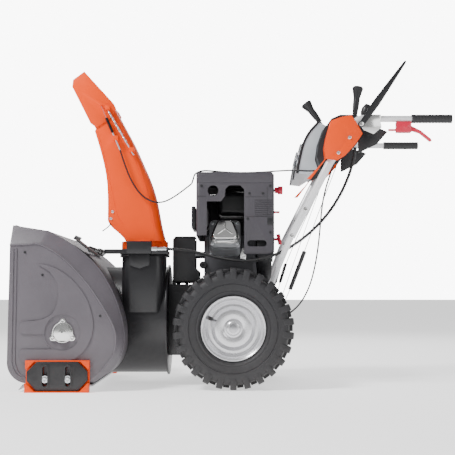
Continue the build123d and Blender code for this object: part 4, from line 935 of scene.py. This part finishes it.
# %% Headlight
LAMP_HALF = 178.0
lamp_front = [(262, 748), (226, 752), (232, 790), (246, 850), (268, 897), (304, 938)]
lamp = rolled("headlight", "lamp_shell", black_plastic, 1.5)
lamp.data.materials.append(lens_plastic)
lamp.data.materials.append(grey_plastic)
for face in lamp.data.polygons:
    if face.center.z < mm(789):
        face.material_index = 2
    elif face.normal.x < 0.25:
        face.material_index = 1
frame_lines = [curve_points(at_y(lamp_front[1:], y), 6) for y in (-LAMP_HALF + 1, -6, 6, LAMP_HALF - 1)]
frame_lines += [[mm(x, y, z) for y in (-LAMP_HALF, 0, LAMP_HALF)] for x, z in ((232.5, 791), (304, 937.5))]
lamp_frame = beads("lamp_frame", frame_lines, 4.5, black_plastic)
flute_line = curve_points(at_y([(233, 796), (246.6, 850), (268.6, 896.6), (298, 931)], 0), 5)
FLUTE_STEP, FLUTES_A_SIDE = 8, 20
flutes = [beads(name, [[p + mm(0, first + FLUTE_STEP * k, 0) for p in flute_line] for k in range(FLUTES_A_SIDE)],
                1.5, lens_plastic) for name, first in (("flutes", -168), ("flutes_far", 16))]
bowls = [lathe("bowl" + str(y), [(0, 0), (2.5, 22), (4.5, 27), (5, 30), (2.0, 31), (0, 30)], (0, 0, 0), mirror_plastic,
               40, "Z", closed=False) for y in (-95, 95)]
for bowl, y in zip(bowls, (-95, 95)):
    lay_along(bowl, (240.8, y, 842), (-0.97, 0, 0.25))
hand_over(joined("headlight_unit", lamp, lamp_frame, *flutes, *bowls), "chassis", "lens", "headlight")

# %% [markdown]
# Thin grey strips edge two of the lever slots, and a bright collar sits at the foot of each knob.

# %% Lever slots and collars
LEVERS = {"speed_lever": (-80, (372, 885), (265, 1027), (300, 392)),
          "chute_lever": (0, (445, 882), (472, 1107), (418, 482)),
          "deflector_lever": (120, (445, 882), (530, 1062), (420, 492))}
gates = []
for name, (y, pivot, top, slot_x) in LEVERS.items():
    x0, x1 = slot_x[0] - 3, slot_x[1] + 3
    if name != "speed_lever":
        line_a = [mm(x0 + 8, y - 10, 950.4), mm(x1 - 46, y - 10, 950.4)]
        line_b = [mm(x0 + 8, y + 10, 950.4), mm(x1 - 46, y + 10, 950.4)]
        gates.append(beads("gate_" + name, [line_a, line_b], 1.2, grey_plastic))
    start, way = Vector((pivot[0], y, pivot[1])), Vector((top[0] - pivot[0], 0, top[1] - pivot[1]))
    reach = way.length
    collar = bar_between("collar_" + name, start, way, reach * 0.50, reach * 0.515, 10.2, bright_zinc)
    hand_over(collar, name, "black_plastic")
hand_over(joined("slot_gates", *gates), "chassis", "black_plastic")
print("console ready")

# %% [markdown]
# ## Cables
# Each cable's line is a smooth spline with a round section. The chute's drive cable is a flexible
# shaft in a ribbed conduit, so a tree sets a small ring every few millimetres along its line.

# %% Control cables
cable_black = finish_of("black_cable_jacket", (0.012, 0.012, 0.013), 0.38, grain=1200, lift=0.1, dust=0.0)
wire_grey = finish_of("coated_wire", (0.10, 0.10, 0.105), 0.35, metal=0.6, grain=700, lift=0.1, dust=0.0)


def cable(name, route, radius, finish):
    line = bpy.data.curves.new(name, "CURVE")
    line.dimensions = "3D"
    spline = line.splines.new("NURBS")
    spline.points.add(len(route) - 1)
    for point, place in zip(spline.points, route):
        point.co = (*mm(*place), 1.0)
    spline.order_u = 3
    spline.use_endpoint_u = True
    spline.resolution_u = 6
    line.bevel_depth = mm(radius)
    line.bevel_resolution = 3
    line.use_fill_caps = True
    line.materials.append(finish)
    return bpy.data.objects.new(name, line)


def other_side(route):
    return [(x, -y, z) for x, y, z in route]


DEFLECTOR_CABLE = [(-404, -194, 832.2), (-386, -195, 775), (-361, -195, 717), (-330, -193, 672), (-291, -190, 648),
                   (-255, -186, 646), (-222, -181, 661), (-187, -174, 686), (-152, -162, 716)]
CLIPPED_CABLE = [(-150.8, -161.6, 717.4), (-146, -158, 732), (-141, -149, 755), (-114, -139, 768), (-70, -132, 766),
                 (-14, -130, 761.5), (50, -131, 760.5), (112, -134, 763), (164, -148, 765), (214, -186, 762),
                 (264, -198, 757), (306, -211, 758), (330, -218, 775), (342, -221, 800)]
CHUTE_CABLE = [(-236, -218, 480), (-172, -217, 477), (-116, -213, 466), (-63, -211, 452), (-12, -210, 442),
               (40, -210, 438), (92, -208, 444), (144, -202, 460), (202, -191, 489), (264, -203, 534),
               (324, -216, 595), (372, -230, 668), (404, -237, 742), (420, -240, 800), (424, -240, 834)]
STEERING_CABLE = [(352, -246, 786), (334, -244, 736), (318, -234, 683), (308, -225, 630), (303, -214, 565),
                  (297, -204, 495), (286, -189, 420), (268, -174, 349), (238, -163, 291), (198, -153, 253),
                  (162, -134, 236), (134, -108, 231)]
CLUTCH_ROD = [(352, -243, 796), (262, -215, 612), (186, -186, 440), (160, -160, 352), (150, -128, 296),
              (134, -104, 262)]
DRIVE_ROD = [(366, -243, 790), (306, -217, 634), (252, -196, 482), (196, -160, 330), (166, -136, 264), (134, -112, 250)]

free_run = plain_mesh(show(cable("deflector_cable_line", DEFLECTOR_CABLE, 3, cable_black)), "deflector_cable_free_run")
drop(bpy.data.objects["deflector_cable_line"])
smooth(free_run, 50)
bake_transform(show(free_run))
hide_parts("deflector_cable")

hand_over(cable("chute_drive_cable", CHUTE_CABLE, 5.0, cable_black), "chassis", "cable_rubber", "control_cables")
hand_over(cable("deflector_cable_clipped", CLIPPED_CABLE, 3, cable_black), "chassis", "cable_rubber")
hand_over(cable("steering_cable", STEERING_CABLE, 3, cable_black), "chassis", "cable_rubber")
for word, turn in (("left", list), ("right", other_side)):
    hand_over(cable("auger_clutch_wire_" + word, turn(CLUTCH_ROD), 1.3, wire_grey), "chassis", "cable_rubber")
    hand_over(cable("drive_clutch_wire_" + word, turn(DRIVE_ROD), 1.3, wire_grey), "chassis", "cable_rubber")

# %% Ribs of the conduit, sleeves and end fittings
rib_tree, rib_in, rib_out = new_tree("conduit_ribs", Pitch="Float", Radius="Float", Wire="Float", Finish="Material")
rib_line = rib_tree.nodes.new("GeometryNodeMeshToCurve")
steps = rib_tree.nodes.new("GeometryNodeResampleCurve")
steps.mode = "LENGTH"
hoop = rib_tree.nodes.new("GeometryNodeCurvePrimitiveCircle")
hoop.inputs["Resolution"].default_value = 14
bead = rib_tree.nodes.new("GeometryNodeCurvePrimitiveCircle")
bead.inputs["Resolution"].default_value = 6
hoop_mesh = rib_tree.nodes.new("GeometryNodeCurveToMesh")
on_line = rib_tree.nodes.new("GeometryNodeInstanceOnPoints")
tangent = rib_tree.nodes.new("GeometryNodeInputTangent")
face_way = rib_tree.nodes.new("FunctionNodeAlignRotationToVector")
face_way.axis = "Z"
for a, b in ((rib_in.outputs["Geometry"], rib_line.inputs[0]), (rib_line.outputs[0], steps.inputs["Curve"]),
             (rib_in.outputs["Pitch"], steps.inputs["Length"]),
             (rib_in.outputs["Radius"], hoop.inputs["Radius"]), (rib_in.outputs["Wire"], bead.inputs["Radius"]),
             (hoop.outputs[0], hoop_mesh.inputs["Curve"]), (bead.outputs[0], hoop_mesh.inputs["Profile Curve"]),
             (steps.outputs[0], on_line.inputs["Points"]), (hoop_mesh.outputs[0], on_line.inputs["Instance"]),
             (tangent.outputs[0], face_way.inputs["Vector"]), (face_way.outputs[0], on_line.inputs["Rotation"])):
    rib_tree.links.new(a, b)
close_tree(rib_tree, rib_in, rib_out, on_line.outputs[0])
conduit_line = line_mesh("conduit", [curve_points([mm(*p) for p in CHUTE_CABLE], 10)])
hand_over(grow(rib_tree, "conduit_ribs", conduit_line, Pitch=mm(4.2), Radius=mm(4.7), Wire=mm(1.0), Finish=cable_black),
          "chassis", "cable_rubber")


def on_run(a, b, t0, t1, radius, name, finish):
    a, b = Vector(a), Vector(b)
    return bar_between(name, a, b - a, (b - a).length * t0, (b - a).length * t1, radius, finish)


fittings = [on_run(DRIVE_ROD[2], DRIVE_ROD[3], 0.06, 0.94, 7.5, "sleeve", soft_rubber)]
for turn in (list, other_side):
    clutch = turn(CLUTCH_ROD)
    a, b = Vector(clutch[2]), Vector(clutch[3])
    fittings.append(coil("clutch_spring", a + (b - a) * 0.12, b - a, 24, 6.0, (b - a).length * 0.72, 1.1, black_coat))
    fittings.append(on_run(clutch[2], clutch[3], 0.1, 0.9, 3.2, "spring_core", black_coat))
fittings.append(bar_between("conduit_nut", Vector((-288.6, -218, 480)), (1, 0, 0), 0, 20, 9, zinc))
fittings.append(bar_between("conduit_collar", Vector((-288.6, -218, 480)), (1, 0, 0), 20, 52.6, 6.6, zinc))
hand_over(joined("cable_fittings", *fittings), "chassis", "cable_rubber")

# %% [markdown]
# ## All the screws
# The scraper, the skids, the bearings, the handles and the cheeks are held by the same hexagon
# screw in a few sizes. One mesh holds them all.

# %% Fasteners
def on_sleeve(t):
    a, b = Vector((192, -234, 508)), Vector((331, -267, 777))
    return a + (b - a) * t


big, middle, small, inner = [], [], [], []
for i in range(8):
    big.append(((-492, -301 + 86 * i, 17.3), (0, 0, -1)))
    inner.append(((-492, -301 + 86 * i, 28.4), (0, 0, 1)))
for side in (-1, 1):
    for x in (-623, -548):
        big.append(((x, side * 377.8, 43), (0, side, 0)))
    for a in ((90, 210, 330) if side < 0 else (270, 30, 150)):
        middle.append(((-570 + 38 * cos(radians(a)), side * 360.2, 196 - side * 38 * sin(radians(a))), (0, side, 0)))
    for t in (0.06, 0.40):
        x, y, z = on_sleeve(t)
        middle.append(((x, side * (abs(y) + 13.6), z), (0, side, 0)))
    middle.append(((122, side * 167.5, 339), (0, side, 0)))
    for x, z in ((397, 860), (358, 807)):
        small.append(((x, side * 300.1, z), (0, side, 0)))
WASHER = ((376.2, 5), (376.2, 12), (377.8, 12), (377.8, 5))
washers = [lathe("washer", [(side * y, r) for y, r in WASHER], (x, 0, 43), zinc, 32)
           for side in (-1, 1) for x in (-623, -548)]
hand_over(joined("hexagon_screws", *washers, screws("big_screws", big, 12.6, zinc),
                 screws("middle_screws", middle, 10.5, bright_zinc),
                 screws("small_screws", small, 8.5, bright_zinc), screws("inner_nuts", inner, 9, zinc)),
          "chassis", "zinc", "fasteners")
print("fasteners ready")

# %% [markdown]
# ## Studio
# A pale floor, a white room and three soft lamps: one high on the left, a wide one from the
# camera's side, and one behind to draw the edges. The camera looks square at the left side.

# %% Floor, light and camera
floor_mesh = bpy.data.meshes.new("studio_floor")
FLOOR_HALF, FLOOR_Z = 60, -0.0006
floor_corners = [(x * FLOOR_HALF, y * FLOOR_HALF, FLOOR_Z) for x, y in ((-1, -1), (1, -1), (1, 1), (-1, 1))]
floor_mesh.from_pydata(floor_corners, [], [(0, 1, 2, 3)])
studio_floor = show(bpy.data.objects.new("studio_floor", floor_mesh))
floor_finish = bpy.data.materials.new("pale_floor")
floor_finish.use_nodes = True
floor_finish.node_tree.nodes["Principled BSDF"].inputs["Base Color"].default_value = (0.93, 0.93, 0.935, 1)
floor_finish.node_tree.nodes["Principled BSDF"].inputs["Roughness"].default_value = 0.75
floor_finish.node_tree.nodes["Principled BSDF"].inputs["Emission Color"].default_value = (1, 1, 1, 1)
floor_finish.node_tree.nodes["Principled BSDF"].inputs["Emission Strength"].default_value = 0.9
floor_mesh.materials.append(floor_finish)

ROOM_LIGHT, BACKDROP_LIGHT = 0.38, 9.0
world = bpy.data.worlds.new("white_room")
bpy.context.scene.world = world
world.use_nodes = True
room, seen = world.node_tree.nodes["Background"], world.node_tree.nodes.new("ShaderNodeLightPath")
backdrop = world.node_tree.nodes.new("ShaderNodeMapRange")
backdrop.inputs["To Min"].default_value = ROOM_LIGHT
backdrop.inputs["To Max"].default_value = BACKDROP_LIGHT
world.node_tree.links.new(seen.outputs["Is Camera Ray"], backdrop.inputs["Value"])
world.node_tree.links.new(backdrop.outputs["Result"], room.inputs["Strength"])
room.inputs["Color"].default_value = (1, 1, 1, 1)


def lamp_at(name, place, target, size, power):
    data = bpy.data.lights.new(name, "AREA")
    data.shape = "RECTANGLE"
    data.size, data.size_y = size
    data.energy = power
    obj = show(bpy.data.objects.new(name, data))
    obj.location = place
    obj.rotation_euler = (Vector(target) - Vector(place)).to_track_quat("-Z", "Y").to_euler()


lamp_at("key_light", (-2.4, -1.7, 3.4), (-0.1, 0, 0.5), (0.9, 0.9), 210)
lamp_at("fill_light", (2.4, -3.2, 1.8), (0, 0, 0.5), (2.0, 1.6), 22)
lamp_at("edge_light", (0.4, 3.0, 2.8), (0, 0, 0.6), (3.0, 1.5), 80)

camera_data = bpy.data.cameras.new("camera")
camera_data.sensor_width = 36
camera_data.lens = 70.95
camera = show(bpy.data.objects.new("camera", camera_data))
camera.location = (-0.0228, -3.3511, 0.3191)
camera.rotation_euler = (radians(90 + 4.31), 0, 0)
bpy.context.scene.camera = camera
